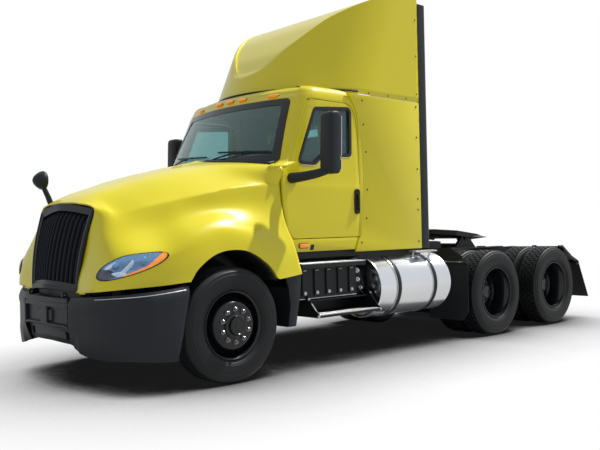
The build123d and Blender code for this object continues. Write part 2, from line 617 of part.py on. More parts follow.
with BuildPart() as hood_fittings:
    # splash panels behind the front wheels
    for side_name, side in SIDES:
        side_outline([(FA - 600, 918), (FA - 815, 918), (FA - 790, 700), (FA - 735, 420),
                      (FA - 640, 420), (FA - 668, 620), (FA - 650, 780)], side * 1120, side * 1130)
        side_outline([(FA - 650, 780), (FA - 668, 620), (FA - 640, 420), (FA - 648, 420),
                      (FA - 676, 620), (FA - 658, 780)], side * 620, side * 1120)
    # mirror on the right of the hood only
    mirror_x, mirror_y, mirror_z = FA + 740, -960, 1860
    rod((FA + 630, -950, 1440), (FA + 700, -960, 1700), 18)
    rod((FA + 700, -960, 1690), (mirror_x + 30, mirror_y, mirror_z - 20), 18)
    with BuildSketch(Plane(origin=(mirror_x, mirror_y, mirror_z), z_dir=(0, -1, 0))) as head:
        with BuildLine():
            Polyline((0, 0), (0, 88), (14, 95), (60, 78), (100, 45), (118, 0), close=True)
        make_face()
    revolve(head.sketch, axis=Axis((mirror_x, mirror_y, mirror_z), (1, 0, 0)))
hood_fittings.part.label = "hood_fittings"
export_step(hood_fittings.part, "parts/hood_fittings.step")

# ---- Cab ---------------------------------------------------------------------------------------------
# Half outlines in plan. The front is curved like the windscreen, from the belt up to the header.
BELT_PLAN = [(FA - 445, 0), (FA - 458, 250), (FA - 512, 550), (FA - 600, 800), (FA - 700, 950),
             (FA - 780, CAB_Y), (CAB_BACK, CAB_Y)]
HEADER_PLAN = [(FA - 872, 0), (FA - 884, 240), (FA - 926, 520), (FA - 985, 750), (FA - 1030, 900),
               (FA - 1085, CAB_Y), (CAB_BACK, CAB_Y)]
SILL_Z = 1900.0                # foot of the windscreen's slope
# levels up the cab: height, outline, how far the outline is drawn in
CAB_LEVELS = [(SILL_Z, BELT_PLAN, 0), (2655, HEADER_PLAN, 0), (2700, HEADER_PLAN, 35),
              (CAB_ROOF, HEADER_PLAN, 115)]


def cab_front(depth):
    """Upper cab inside a skin, from the belt to the roof."""
    with BuildPart() as upper:
        for z, plan, drawn_in in CAB_LEVELS:
            inward = depth + drawn_in
            half = [(x - inward if x > CAB_BACK else x + inward, min(y, CAB_Y - inward) if y else 0)
                    for x, y in plan]
            with BuildSketch(Plane.XY.offset(z if z == SILL_Z else z - depth * 0.6)):
                with BuildLine():
                    Polyline(*mirrored(half), close=True)
                make_face()
        loft(ruled=True)
    return upper.part


DOOR_OUTLINE = [(FA - 740, 1330), (FA - 712, 1450), (FA - 694, 1560), (FA - 692, 1915),
                (FA - 790, 1960), (FA - 1060, 2580),
                (FA - 1737, 2580), (FA - 1737, 1227), (FA - 824, 1227)]
WINDOW_OUTLINE = [(FA - 885, 1940), (FA - 1120, 1940), (FA - 1250, 2036), (FA - 1625, 2036),
                  (FA - 1640, 2540), (FA - 1125, 2500)]


def grown(points, distance):
    """An outline moved out (or in) all round, for shut lines and glass seats."""
    with BuildSketch(Plane.XZ, mode=Mode.PRIVATE) as outline:
        with BuildLine():
            Polyline(*points, close=True)
        make_face()
        offset(amount=distance, kind=Kind.INTERSECTION)
    return outline.sketch


def cut_through(sketch, y0, y1, mode=Mode.SUBTRACT):
    """Extrude a sketch on the middle plane between two y."""
    low, high = sorted((y0, y1))
    extrude(sketch.moved(Location((0, high, 0))), amount=high - low, mode=mode)


SCREEN_OUTLINE = [(-900, 2000), (900, 2000), (800, 2560), (-800, 2560)]
SCREEN_GLASS = [(-930, 1975), (930, 1975), (830, 2585), (-830, 2585)]

with BuildPart() as cab_shell:
    block(CAB_BACK, FA - 700, -CAB_Y, CAB_Y, CAB_FLOOR, SILL_Z)
    block(CAB_BACK + WALL, FA - 700 - WALL, -CAB_Y + WALL, CAB_Y - WALL,
          CAB_FLOOR + WALL, SILL_Z + 1, Mode.SUBTRACT)
    add(cab_front(0))
    add(cab_front(WALL), mode=Mode.SUBTRACT)
    block(CAB_BACK + WALL, FA - 700 - WALL, -CAB_Y + WALL, CAB_Y - WALL,
          SILL_Z - 2, SILL_Z + 2, Mode.SUBTRACT)
    # lower front corners cut back behind the fenders
    side_outline([(FA - 600, 1000), (FA - 600, 1390), (FA - 700, 1390), (FA - 840, 1000)],
                 -1200, 1200, Mode.SUBTRACT)
    side_outline([(FA - 765, 1165), (FA - 700, 1390), (FA - 765, 1390), (FA - 860, 1165)],
                 -CAB_Y + WALL, CAB_Y - WALL)
    for side_name, side in SIDES:
        cut_through(grown(DOOR_OUTLINE, GAP), side * (CAB_Y - WALL - 5), side * (CAB_Y + 5))
        # recess under the side panel
        block(CAB_BACK - 5, FA - 1742, side * (CAB_Y - 22), side * (CAB_Y + 5), 1000, 2700,
              Mode.SUBTRACT)
    # windscreen opening with its rebate, and the rear window's
    front_outline(SCREEN_OUTLINE, FA - 1150, FA - 300, Mode.SUBTRACT)
    with BuildPart(mode=Mode.PRIVATE) as rebate:
        front_outline(SCREEN_GLASS, FA - 1150, FA - 300)
        add(cab_front(14), mode=Mode.SUBTRACT)
    add(rebate.part, mode=Mode.SUBTRACT)
    front_outline([(-420, 2050), (420, 2050), (420, 2420), (-420, 2420)], CAB_BACK - 5,
                  CAB_BACK + WALL + 5, Mode.SUBTRACT)
cab_shell.part.label = "cab_shell"
export_step(cab_shell.part, "parts/cab_shell.step")

with BuildPart() as cab_glass:
    front_outline([(-928, 1977), (928, 1977), (828, 2583), (-828, 2583)], FA - 1150, FA - 300)
    add(cab_front(7), mode=Mode.INTERSECT)
    add(cab_front(14), mode=Mode.SUBTRACT)
    front_outline([(-420, 2050), (420, 2050), (420, 2420), (-420, 2420)], CAB_BACK + 20,
                  CAB_BACK + 26)
cab_glass.part.label = "cab_glass"
export_step(cab_glass.part, "parts/cab_glass.step")

with BuildPart() as dashboard:
    side_outline([(FA - 765, 1700), (FA - 765, 1890), (FA - 860, 1900), (FA - 1010, 1820),
                  (FA - 980, 1660), (FA - 860, 1560), (FA - 765, 1560)], -960, 960)
    # steering column and wheel, on the left
    rod((FA - 950, 380, 1700), (FA - 1150, 380, 1800), 28)
    tilt = Plane(origin=(FA - 1150, 380, 1800), x_dir=(0, 1, 0), z_dir=(-0.894, 0, 0.447))
    with BuildSketch(tilt) as ring:
        Circle(225)
        Circle(198, mode=Mode.SUBTRACT)
        Rectangle(410, 36)
        Circle(60)
    extrude(ring.sketch, amount=24)
dashboard.part.label = "dashboard"
export_step(dashboard.part, "parts/dashboard.step")

with BuildPart() as seats:
    for side_name, side in SIDES:
        middle = side * 420
        block(FA - 1640, FA - 1240, middle - 200, middle + 200, CAB_FLOOR + WALL, 1420)
        side_outline([(FA - 1200, 1420), (FA - 1180, 1530), (FA - 1560, 1530), (FA - 1680, 2120),
                      (FA - 1725, 2120), (FA - 1700, 1420)], middle - 250, middle + 250)
        block(FA - 1722, FA - 1640, middle - 130, middle + 130, 2120, 2300)
seats.part.label = "seats"
export_step(seats.part, "parts/seats.step")

# ---- Doors -------------------------------------------------------------------------------------------
for side_name, side in SIDES:
    inner, outer = side * (CAB_Y - WALL), side * CAB_Y
    seat = side * (CAB_Y - 30)
    with BuildPart() as door:
        side_outline(DOOR_OUTLINE, inner, outer)
        side_outline(WINDOW_OUTLINE, inner - side * 5, outer + side * 5, Mode.SUBTRACT)
        cut_through(grown(WINDOW_OUTLINE, 14), seat, outer + side * 5)
    door.part.label = f"door_{side_name}"
    export_step(door.part, f"parts/door_{side_name}.step")

    with BuildPart() as door_glass:
        cut_through(grown(WINDOW_OUTLINE, 14), seat, seat + side * 6, Mode.ADD)
    door_glass.part.label = f"door_glass_{side_name}"
    export_step(door_glass.part, f"parts/door_glass_{side_name}.step")

    with BuildPart() as door_fittings:
        # mirror on a boomerang arm from the door's front corner
        block(FA - 900, FA - 745, outer, outer + side * 34, 1780, 1850)
        rod((FA - 830, side * (CAB_Y + 20), 1815), (FA - 960, side * 1330, 1900), 26)
        rod((FA - 960, side * 1330, 1880), (FA - 1000, side * 1330, 2390), 20)
        side_outline([(FA - 985, 1830), (FA - 1070, 1830), (FA - 1092, 2410), (FA - 1015, 2410)],
                     side * 1232, side * 1404)
        # pull handle
        side_outline([(FA - 1672, 1460), (FA - 1722, 1460), (FA - 1722, 1710), (FA - 1672, 1710)],
                     outer, outer + side * 22)
    door_fittings.part.label = f"door_fittings_{side_name}"
    export_step(door_fittings.part, f"parts/door_fittings_{side_name}.step")

# ---- Roof fairing and side panels --------------------------------------------------------------------
# Its walls are quarter ellipses in plan that lean back as they rise. Columns: height, x of the
# front on the middle plane. The side is reached FAIRING_REACH further back.
FAIRING_LEVELS = [(SEAM_Z, FA - 945), (3950, FA - 1490)]
FAIRING_REACH = 1005.0
# The crest seen from the side, from the foot in front up to the rear
CREST = [(FA - 900, SEAM_Z), (FA - 1010, 2890), (FA - 1109, 2990), (FA - 1202, 3110),
         (FA - 1314, 3240), (FA - 1541, 3450), (FA - 1674, 3545), (FA - 1847, 3640),
         (FA - 2050, 3730), (FA - 2350, 3840), (PANEL_BACK, 3930)]
WALL_STEPS = 8


def fairing_wall(skin, tail):
    """Space inside the upright wall, back past its tail."""
    with BuildPart() as body:
        for z, front in FAIRING_LEVELS:
            half = []
            for step in range(WALL_STEPS + 1):
                turn = radians(90 * step / WALL_STEPS)
                half.append((front - FAIRING_REACH * (1 - cos(turn)) - skin * cos(turn),
                             CAB_Y * sin(turn) - skin * sin(turn)))
            half.append((PANEL_BACK - tail, CAB_Y - skin))
            with BuildSketch(Plane.XY.offset(z)):
                with BuildLine():
                    Polyline(*mirrored(half), close=True)
                make_face()
        loft(ruled=True)
    return body.part


def fairing_under(drop, foot, tail):
    """Space below the roof's slope, lowered by drop, and above the foot."""
    with BuildPart() as space:
        top = [(x, z - drop) for x, z in CREST[1:-1]]
        side_outline([(FA - 880, foot), (CREST[0][0], foot + 5)] + top +
                     [(PANEL_BACK - tail, CREST[-1][1] - drop), (PANEL_BACK - tail, foot)],
                     -CAB_Y, CAB_Y)
    return space.part


# The roof is dished inside a lip along the wall's top. Columns: x, height of the roof, depth.
LIP_WIDE = 55.0
FAIRING_SKIN = 25.0
DISH = [(FA - 1075, 2955, 25), (FA - 1202, 3110, 30), (FA - 1314, 3240, 30), (FA - 1541, 3450, 28),
        (FA - 1674, 3545, 20), (FA - 1847, 3640, 10), (FA - 2050, 3730, 0)]

with BuildPart() as roof_fairing:
    add(fairing_wall(0, 0) & fairing_under(0, SEAM_Z, 0))
    with BuildPart(mode=Mode.PRIVATE) as dish:
        side_outline([(x, z - deep) for x, z, deep in DISH] +
                     [(x, z + 40) for x, z, deep in reversed(DISH)], -CAB_Y, CAB_Y)
    add(dish.part & fairing_wall(LIP_WIDE, 0), mode=Mode.SUBTRACT)
    add(fairing_wall(FAIRING_SKIN, 10) & fairing_under(2 * FAIRING_SKIN, SEAM_Z - 20, 10),
        mode=Mode.SUBTRACT)
    add(cab_front(-6), mode=Mode.SUBTRACT)
roof_fairing.part.label = "roof_fairing"
export_step(roof_fairing.part, "parts/roof_fairing.step")

with BuildPart() as side_extenders:
    for side_name, side in SIDES:
        block(PANEL_BACK, FA - 1742, side * (CAB_Y - 22), side * CAB_Y, 1075, SEAM_Z)
        # two stays a side from the cab's back wall
        for z in (1400, 2400):
            rod((CAB_BACK, side * 860, z), (FA - 2450, side * 860, z), 14)
            block(FA - 2470, FA - 2430, side * 846, side * (CAB_Y - 22), z - 14, z + 14)
side_extenders.part.label = "side_extenders"
export_step(side_extenders.part, "parts/side_extenders.step")

with BuildPart() as extender_trims:
    for side_name, side in SIDES:
        block(TRIM_BACK, PANEL_BACK, side * (CAB_Y - 26), side * CAB_Y, 1075, 3790)
extender_trims.part.label = "extender_trims"
export_step(extender_trims.part, "parts/extender_trims.step")

with BuildPart() as deck_plates:
    block(FA - 3480, FA - 1900, -RAIL_Y, RAIL_Y, RAIL_TOP, RAIL_TOP + 6)
    # cab's rear mounts, from rail to floor
    for side_name, side in SIDES:
        block(FA - 1790, FA - 1650, side * 345, side * RAIL_Y, RAIL_TOP, CAB_FLOOR)
        block(FA - 1010, FA - 880, side * 345, side * RAIL_Y, RAIL_TOP, CAB_FLOOR)
deck_plates.part.label = "deck_plates"
export_step(deck_plates.part, "parts/deck_plates.step")

# ---- Fifth wheel -------------------------------------------------------------------------------------
PLATE_FRONT = 430.0            # front edge ahead of the pivot
PLATE_REAR = 560.0             # tips of the ramps behind it
PLATE_HALF = 480.0
THROAT_R = 50.8 / 2 + 1        # for a two inch kingpin
pivot_x, pivot_z = FIFTH_PIVOT

with BuildPart() as fifth_wheel_base:
    block(pivot_x - 430, pivot_x + 430, -RAIL_Y - 60, RAIL_Y + 60, RAIL_TOP, RAIL_TOP + 12)
    for side_name, side in SIDES:
        side_outline([(pivot_x - 230, RAIL_TOP + 12), (pivot_x + 230, RAIL_TOP + 12),
                      (pivot_x + 52, pivot_z + 20), (pivot_x - 52, pivot_z + 20)],
                     side * 400, side * 440)
        rod((pivot_x, side * 345, pivot_z - 20), (pivot_x, side * 460, pivot_z - 20), 24)
fifth_wheel_base.part.label = "fifth_wheel_base"
export_step(fifth_wheel_base.part, "parts/fifth_wheel_base.step")

# The plate is drawn on a plane through the pivot that leans back by the rest angle
rest = Plane(origin=(pivot_x, 0, pivot_z - 20), x_dir=(cos(radians(FIFTH_TILT)), 0,
             sin(radians(FIFTH_TILT))), z_dir=(-sin(radians(FIFTH_TILT)), 0,
             cos(radians(FIFTH_TILT))))
with BuildPart(rest) as fifth_wheel_plate:
    with BuildSketch(rest.offset(60)) as top:
        with BuildLine():
            Polyline((PLATE_FRONT, -260), (PLATE_FRONT, 260), (250, PLATE_HALF), (-200, PLATE_HALF),
                     (-PLATE_REAR, 330), (-PLATE_REAR, 200), (-40, 70), (-40, -70),
                     (-PLATE_REAR, -200), (-PLATE_REAR, -330), (-200, -PLATE_HALF),
                     (250, -PLATE_HALF), close=True)
        make_face()
        with Locations((60, 0)):
            Circle(THROAT_R, mode=Mode.SUBTRACT)
        with Locations((0, 0)):
            Rectangle(120, 2 * THROAT_R, mode=Mode.SUBTRACT)
    extrude(amount=14)
    for side_name, side in SIDES:
        # skirts with the pivot's bushes
        with Locations((0, side * 370, 14)):
            Box(120, 50, 92)
        with Locations(Location((0, side * 370, 0), (90, 0, 0))):
            Cylinder(24.5, 60, mode=Mode.SUBTRACT)
        with Locations((15, side * 309, 30)):
            Box(630, 18, 60)
fifth_wheel_plate.part.label = "fifth_wheel_plate"
export_step(fifth_wheel_plate.part, "parts/fifth_wheel_plate.step")

# ---- Rear end ----------------------------------------------------------------------------------------
FLAP_Y = (800.0, 1225.0)
FRONT_FLAP_X = FA - 3320.0
with BuildPart() as mudflaps:
    for side_name, side in SIDES:
        # bracket out from the rail, down at a knee, with the flap hanging from it
        y0, y1 = side * RAIL_Y, side * 1210
        side_outline([(FA - 5360, 1000), (FA - 5360, 1018), (FA - 5450, 1018), (FA - 5685, 868),
                      (FA - 5845, 800), (FA - 5835, 768), (FA - 5668, 835), (FA - 5440, 990)],
                     side * 1185, y1)
        rod((FA - 5500, y0, 966), (FA - 5500, side * 1200, 966), 20)
        rod((FA - 5826, side * FLAP_Y[0], 780), (FA - 5826, side * FLAP_Y[1], 780), 16)
        side_outline([(FA - 5820, 780), (FA - 5832, 780), (FA - 6083, 290), (FA - 6071, 290)],
                     side * FLAP_Y[0], side * FLAP_Y[1])
        # stiff flaps in front of the first driven tyres
        block(FRONT_FLAP_X - 4, FRONT_FLAP_X + 4, side * 640, side * 1205, 215, 895)
        rod((FRONT_FLAP_X, side * 530, 880), (FRONT_FLAP_X, side * 1200, 880), 16)
mudflaps.part.label = "mudflaps"
export_step(mudflaps.part, "parts/mudflaps.step")

with BuildPart() as lamps:
    # five markers over the windscreen, side markers below the doors, tail lamps
    for y in (-620, -200, 0, 200, 620):
        front = FA - 752 - y * y * 0.00030
        block(front - 60, front + 30, y - 55, y + 55, 2640, 2672)
    add(cab_front(0), mode=Mode.SUBTRACT)
    for side_name, side in SIDES:
        block(FA - 1010, FA - 920, side * CAB_Y, side * (CAB_Y + 22), 1140, 1175)
        block(RAIL_REAR - 60, RAIL_REAR, side * 350, side * RAIL_Y, 880, 960)
lamps.part.label = "lamps"
export_step(lamps.part, "parts/lamps.step")
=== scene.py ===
"""Looks for the day cab tractor unit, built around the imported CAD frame. Metres.

Shapes are written with x measured from the front axle, as in the CAD source, and shifted to
the frame when they become pieces. What both sides have is written for the left, where y is
positive, and mirrored.
"""
import bpy
import bmesh
import json
import math
import numpy as np
from mathutils import Matrix, Vector
from mathutils.bvhtree import BVHTree


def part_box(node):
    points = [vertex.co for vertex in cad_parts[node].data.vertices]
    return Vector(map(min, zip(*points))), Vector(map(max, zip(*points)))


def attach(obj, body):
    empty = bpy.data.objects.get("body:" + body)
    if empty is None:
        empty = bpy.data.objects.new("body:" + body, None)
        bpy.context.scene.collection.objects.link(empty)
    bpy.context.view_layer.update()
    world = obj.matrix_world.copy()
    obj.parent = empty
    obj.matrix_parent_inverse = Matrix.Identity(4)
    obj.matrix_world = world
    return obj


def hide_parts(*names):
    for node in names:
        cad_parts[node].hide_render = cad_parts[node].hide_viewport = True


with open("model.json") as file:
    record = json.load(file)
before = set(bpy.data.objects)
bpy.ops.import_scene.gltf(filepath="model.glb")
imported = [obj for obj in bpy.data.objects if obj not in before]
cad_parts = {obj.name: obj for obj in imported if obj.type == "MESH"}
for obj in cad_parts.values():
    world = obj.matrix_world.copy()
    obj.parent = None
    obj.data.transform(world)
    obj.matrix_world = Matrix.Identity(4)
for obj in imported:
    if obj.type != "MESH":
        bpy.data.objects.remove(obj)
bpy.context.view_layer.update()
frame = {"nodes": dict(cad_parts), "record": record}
SIDES = (("left", 1), ("right", -1))

# ---- Places taken from the frame -----------------------------------------------------------------
steer_low, steer_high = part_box("steer_tyre_left")
FA = (steer_low[0] + steer_high[0]) / 2        # x of the front axle
TYRE_R = (steer_high[0] - steer_low[0]) / 2
TYRE_HALF = (steer_high[1] - steer_low[1]) / 2
STEER_Y = (steer_low[1] + steer_high[1]) / 2
DRIVE_X = {}                                   # driven axles, from the front axle
for axle_name in ("front", "rear"):
    drive_low, drive_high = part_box(f"drive_tyres_{axle_name}_left")
    DRIVE_X[axle_name] = (drive_low[0] + drive_high[0]) / 2 - FA
HUB_Y = (drive_low[1] + drive_high[1]) / 2     # joint face between the twin wheels
DUAL = (drive_high[1] - drive_low[1]) / 2 - TYRE_HALF
CAB_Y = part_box("door_left")[1][1]              # outer face of the doors

# ---- Camera: the photograph's viewing angle, in metres and degrees -------------------------------
CAMERA_FROM_AXLE = (3.9941, 6.4331, 1.3427)
CAMERA_YAW = -132.158
CAMERA_PITCH = 0.116
CAMERA_ROLL = -1.276
FOCAL_IN_WIDTHS = 766.305 / 600                # focal length as a share of the picture's width
SENSOR = 36.0

cam = bpy.data.cameras.new("camera")
cam.sensor_fit = "HORIZONTAL"
cam.sensor_width = SENSOR
cam.lens = SENSOR * FOCAL_IN_WIDTHS
cam.clip_end = 200
cam_obj = bpy.data.objects.new("camera", cam)
bpy.context.collection.objects.link(cam_obj)
yaw, pitch, roll = (math.radians(v) for v in (CAMERA_YAW, CAMERA_PITCH, CAMERA_ROLL))
ahead = Vector((math.cos(pitch) * math.cos(yaw), math.cos(pitch) * math.sin(yaw), math.sin(pitch)))
right = ahead.cross(Vector((0, 0, 1))).normalized()
up = right.cross(ahead)
right, up = (math.cos(roll) * right + math.sin(roll) * up,
             -math.sin(roll) * right + math.cos(roll) * up)
place = Matrix((right, up, -ahead)).transposed().to_4x4()
place.translation = Vector(CAMERA_FROM_AXLE) + Vector((FA, 0, 0))
cam_obj.matrix_world = place
bpy.context.scene.camera = cam_obj
bpy.context.scene.view_settings.view_transform = "Standard"

# ---- Materials -----------------------------------------------------------------------------------
def set_inputs(tree, node, inputs):
    """Give a node's sockets, by name or number, their values, or link other nodes' outputs to them."""
    for key, value in inputs.items():
        if isinstance(value, bpy.types.NodeSocket):
            tree.links.new(value, node.inputs[key])
        else:
            node.inputs[key].default_value = value


def add_node(tree, kind, inputs, operation=None):
    """A new shader node with its sockets filled. Returns its outputs."""
    node = tree.nodes.new("ShaderNode" + kind)
    if operation:
        node.operation = operation
    set_inputs(tree, node, inputs)
    return node.outputs


def material(name, color, rough, metal=0.0, coat=0.0, bump=None, vary=None, **sockets):
    """A procedural finish. bump is (scale, height), vary is (scale, share of the colour)."""
    mat = bpy.data.materials.new(name)
    mat.use_nodes = True
    tree = mat.node_tree
    bsdf = tree.nodes["Principled BSDF"]
    set_inputs(tree, bsdf, {"Base Color": (*color, 1), "Roughness": rough, "Metallic": metal,
                            "Coat Weight": coat, "Coat Roughness": 0.04})
    set_inputs(tree, bsdf, {socket.replace("_", " "): value for socket, value in sockets.items()})
    place = add_node(tree, "TexCoord", {})["Object"]
    if vary:
        scale, share = vary
        noise = add_node(tree, "TexNoise", {"Vector": place, "Scale": scale, "Detail": 4})
        level = add_node(tree, "MapRange", {"Value": noise["Fac"], "To Min": 1 - share, "To Max": 1 + share})
        tint = add_node(tree, "VectorMath", {0: color, "Scale": level["Result"]}, "SCALE")
        set_inputs(tree, bsdf, {"Base Color": tint["Vector"]})
    if bump:
        scale, height = bump
        grain = add_node(tree, "TexNoise", {"Vector": place, "Scale": scale, "Detail": 3})
        relief = add_node(tree, "Bump", {"Strength": 1.0, "Distance": height, "Height": grain["Fac"]})
        set_inputs(tree, bsdf, {"Normal": relief["Normal"]})
    return mat


def black(name, color, rough, **options):
    """A black finish with a weak reflection."""
    return material(name, color, rough, Specular_IOR_Level=0.3, **options)


YELLOW = material("yellow_paint", (0.76, 0.66, 0.004), 0.36, coat=0.55, vary=(1.2, 0.03),
                  Specular_IOR_Level=0.35)
PLASTIC = black("black_plastic", (0.011, 0.0145, 0.020), 0.42, bump=(900, 0.0004), vary=(3, 0.15))
CHASSIS = black("chassis_black", (0.008, 0.0095, 0.012), 0.40, bump=(60, 0.0006), vary=(6, 0.3))
WHEEL_BLACK = black("wheel_black", (0.004, 0.005, 0.007), 0.24, coat=0.35, vary=(8, 0.2))
RUBBER = black("tyre_rubber", (0.0055, 0.0065, 0.0085), 0.50, bump=(250, 0.0006), vary=(10, 0.2))
FLAP = black("flap_rubber", (0.007, 0.008, 0.010), 0.55, bump=(120, 0.001), vary=(5, 0.2))
EDGE_BLACK = black("glass_border", (0.005, 0.006, 0.008), 0.14, coat=0.35)
ENGINE = material("cast_engine", (0.10, 0.10, 0.11), 0.6, bump=(150, 0.001), vary=(5, 0.2))
CORE = material("radiator_core", (0.12, 0.12, 0.125), 0.5, metal=0.6, bump=(400, 0.001))
TANK = material("tank_aluminium", (0.86, 0.88, 0.92), 0.20, metal=1.0, vary=(4, 0.04))
DECK = material("deck_aluminium", (0.05, 0.052, 0.055), 0.42, metal=0.6, bump=(300, 0.0005))
GLASS = material("tinted_glass", (0.34, 0.60, 0.60), 0.0, Transmission_Weight=0.9, IOR=1.45)
LENS = material("clear_lens", (0.62, 0.70, 0.78), 0.06, coat=1.0, Transmission_Weight=0.3)
AMBER = material("amber_lens", (0.95, 0.30, 0.02), 0.12, coat=0.6, Transmission_Weight=0.1,
                 Emission_Color=(1.0, 0.26, 0.01, 1), Emission_Strength=0.30)
SEAT = material("seat_fabric", (0.018, 0.020, 0.026), 0.9, bump=(500, 0.001), vary=(20, 0.2))
CHROME = material("chrome_reflector", (0.85, 0.88, 0.92), 0.12, metal=1.0)
LAMP_BLUE = material("lamp_inside", (0.13, 0.25, 0.44), 0.22, metal=0.8, coat=0.6, bump=(26, 0.006))
LAMP_DARK = material("lamp_shade", (0.012, 0.022, 0.060), 0.15, coat=0.8)
LAMP_FROST = material("lamp_facets", (0.50, 0.62, 0.78), 0.25, metal=0.7, bump=(60, 0.004))
CLEAR = material("clear_cover", (0.93, 0.97, 1.0), 0.01, Transmission_Weight=1.0, IOR=1.12,
                 Specular_IOR_Level=1.0)
TAIL_RED = material("tail_red", (0.45, 0.012, 0.008), 0.12, coat=1.0, Transmission_Weight=0.2)
NUT = material("wheel_nut", (0.26, 0.26, 0.28), 0.24, metal=1.0)
STEEL = material("bright_steel", (0.62, 0.63, 0.65), 0.28, metal=1.0, vary=(30, 0.1))

# The record's slots with their finish, then the slot that each further finish belongs to
SLOT_FINISH = {
    "yellow_paint": YELLOW, "black_plastic": PLASTIC, "chassis_black": CHASSIS,
    "wheel_black": WHEEL_BLACK, "tyre_rubber": RUBBER, "cast_engine": ENGINE,
    "aluminium_core": CORE, "tank_aluminium": TANK, "deck_aluminium": DECK,
    "tinted_glass": GLASS, "clear_lens": LENS, "amber_lens": AMBER, "seat_fabric": SEAT,
    "flap_rubber": FLAP,
}
SLOT_OF = {mat.name: slot for slot, mat in SLOT_FINISH.items()}
SLOT_OF.update({"chrome_reflector": "tank_aluminium", "bright_steel": "tank_aluminium",
                "lamp_inside": "clear_lens", "lamp_shade": "clear_lens", "lamp_facets": "clear_lens",
                "clear_cover": "clear_lens", "glass_border": "tinted_glass",
                "tail_red": "amber_lens", "wheel_nut": "wheel_black"})
for entry in frame["record"]["subparts"]:
    for slot in frame["nodes"][entry["node"]].material_slots:
        slot.material = SLOT_FINISH[entry["material_slot"]]

# ---- Mesh tools ----------------------------------------------------------------------------------
MERGE = 2e-5                                   # points nearer than this become one
RAY_START = 8                                  # how far outside a skin its rays start


def spline(points, count):
    """A smooth curve through the points, sampled evenly between them."""
    given = np.array(points, float)
    padded = np.vstack([2 * given[0] - given[1], given, 2 * given[-1] - given[-2]])
    result = []
    for place in np.linspace(0, len(given) - 1, count):
        span = min(int(place), len(given) - 2)
        u = place - span
        a, b, c, d = padded[span:span + 4]
        result.append(0.5 * (2 * b + (c - a) * u + (2 * a - 5 * b + 4 * c - d) * u ** 2
                             + (3 * b - a - 3 * c + d) * u ** 3))
    return np.array(result)


def even(points, count):
    """The same open line, resampled into points an equal distance apart."""
    points = np.array(points, float)
    steps = np.linalg.norm(np.diff(points, axis=0), axis=1)
    run = np.concatenate([[0], np.cumsum(steps)])
    wanted = np.linspace(0, run[-1], count)
    return np.stack([np.interp(wanted, run, points[:, k]) for k in range(points.shape[1])], 1)


def table(value, pairs):
    """A value read from (place, value) pairs, straight between them."""
    pairs = np.asarray(pairs)
    return float(np.interp(value, pairs[:, 0], pairs[:, 1]))


def falling_table(value, line):
    """The same for a line whose places fall from front to back."""
    return float(np.interp(-value, -line[:, 0], line[:, 1]))


def last_true(test, low, high, steps):
    """The largest value between low and high for which test holds, found by halving."""
    for _ in range(steps):
        middle = (low + high) / 2
        if test(middle):
            low = middle
        else:
            high = middle
    return low


def turns(count):
    """Angles round a whole turn."""
    return [2 * math.pi * k / count for k in range(count)]


def steps_between(low, high, size):
    """Evenly spaced values inside a range, about size apart."""
    count = max(2, int(round((high - low) / size)))
    return [low + (high - low) * k / count for k in range(1, count)]


def rounded(points, radius, steps=5):
    """A closed outline with its corners rounded. radius is one number or one for each corner."""
    count = len(points)
    radii = radius if isinstance(radius, (list, tuple)) else [radius] * count
    result = []
    for k in range(count):
        corner = np.array(points[k], float)
        before = np.array(points[k - 1], float) - corner
        after = np.array(points[(k + 1) % count], float) - corner
        len_a, len_b = np.linalg.norm(before), np.linalg.norm(after)
        before, after = before / len_a, after / len_b
        half = math.acos(max(-1, min(1, float(before @ after)))) / 2
        back = min(radii[k] / math.tan(half), 0.48 * len_a, 0.48 * len_b)
        start, end = corner + before * back, corner + after * back
        for u in np.linspace(0, 1, steps + 1):
            result.append(tuple((1 - u) ** 2 * start + 2 * u * (1 - u) * corner + u * u * end))
    return result


def oblong(a0, a1, b0, b1, radius, steps=5):
    """A rectangle with rounded corners."""
    return rounded([(a0, b0), (a1, b0), (a1, b1), (a0, b1)], radius, steps)


def grown(outline, distance):
    """A closed outline moved outward by a distance, whichever way round it runs."""
    points = np.array(outline, float)
    ahead = np.roll(points, -1, axis=0) - points
    ahead /= np.linalg.norm(ahead, axis=1)[:, None]
    normal = np.stack([ahead[:, 1], -ahead[:, 0]], 1)
    following = np.roll(points, -1, axis=0)
    if np.sum(points[:, 0] * following[:, 1] - following[:, 0] * points[:, 1]) < 0:
        normal = -normal
    before = np.roll(normal, 1, axis=0)
    share = 1 + np.sum(before * normal, axis=1)
    return [tuple(p) for p in points + distance * (before + normal) / share[:, None]]


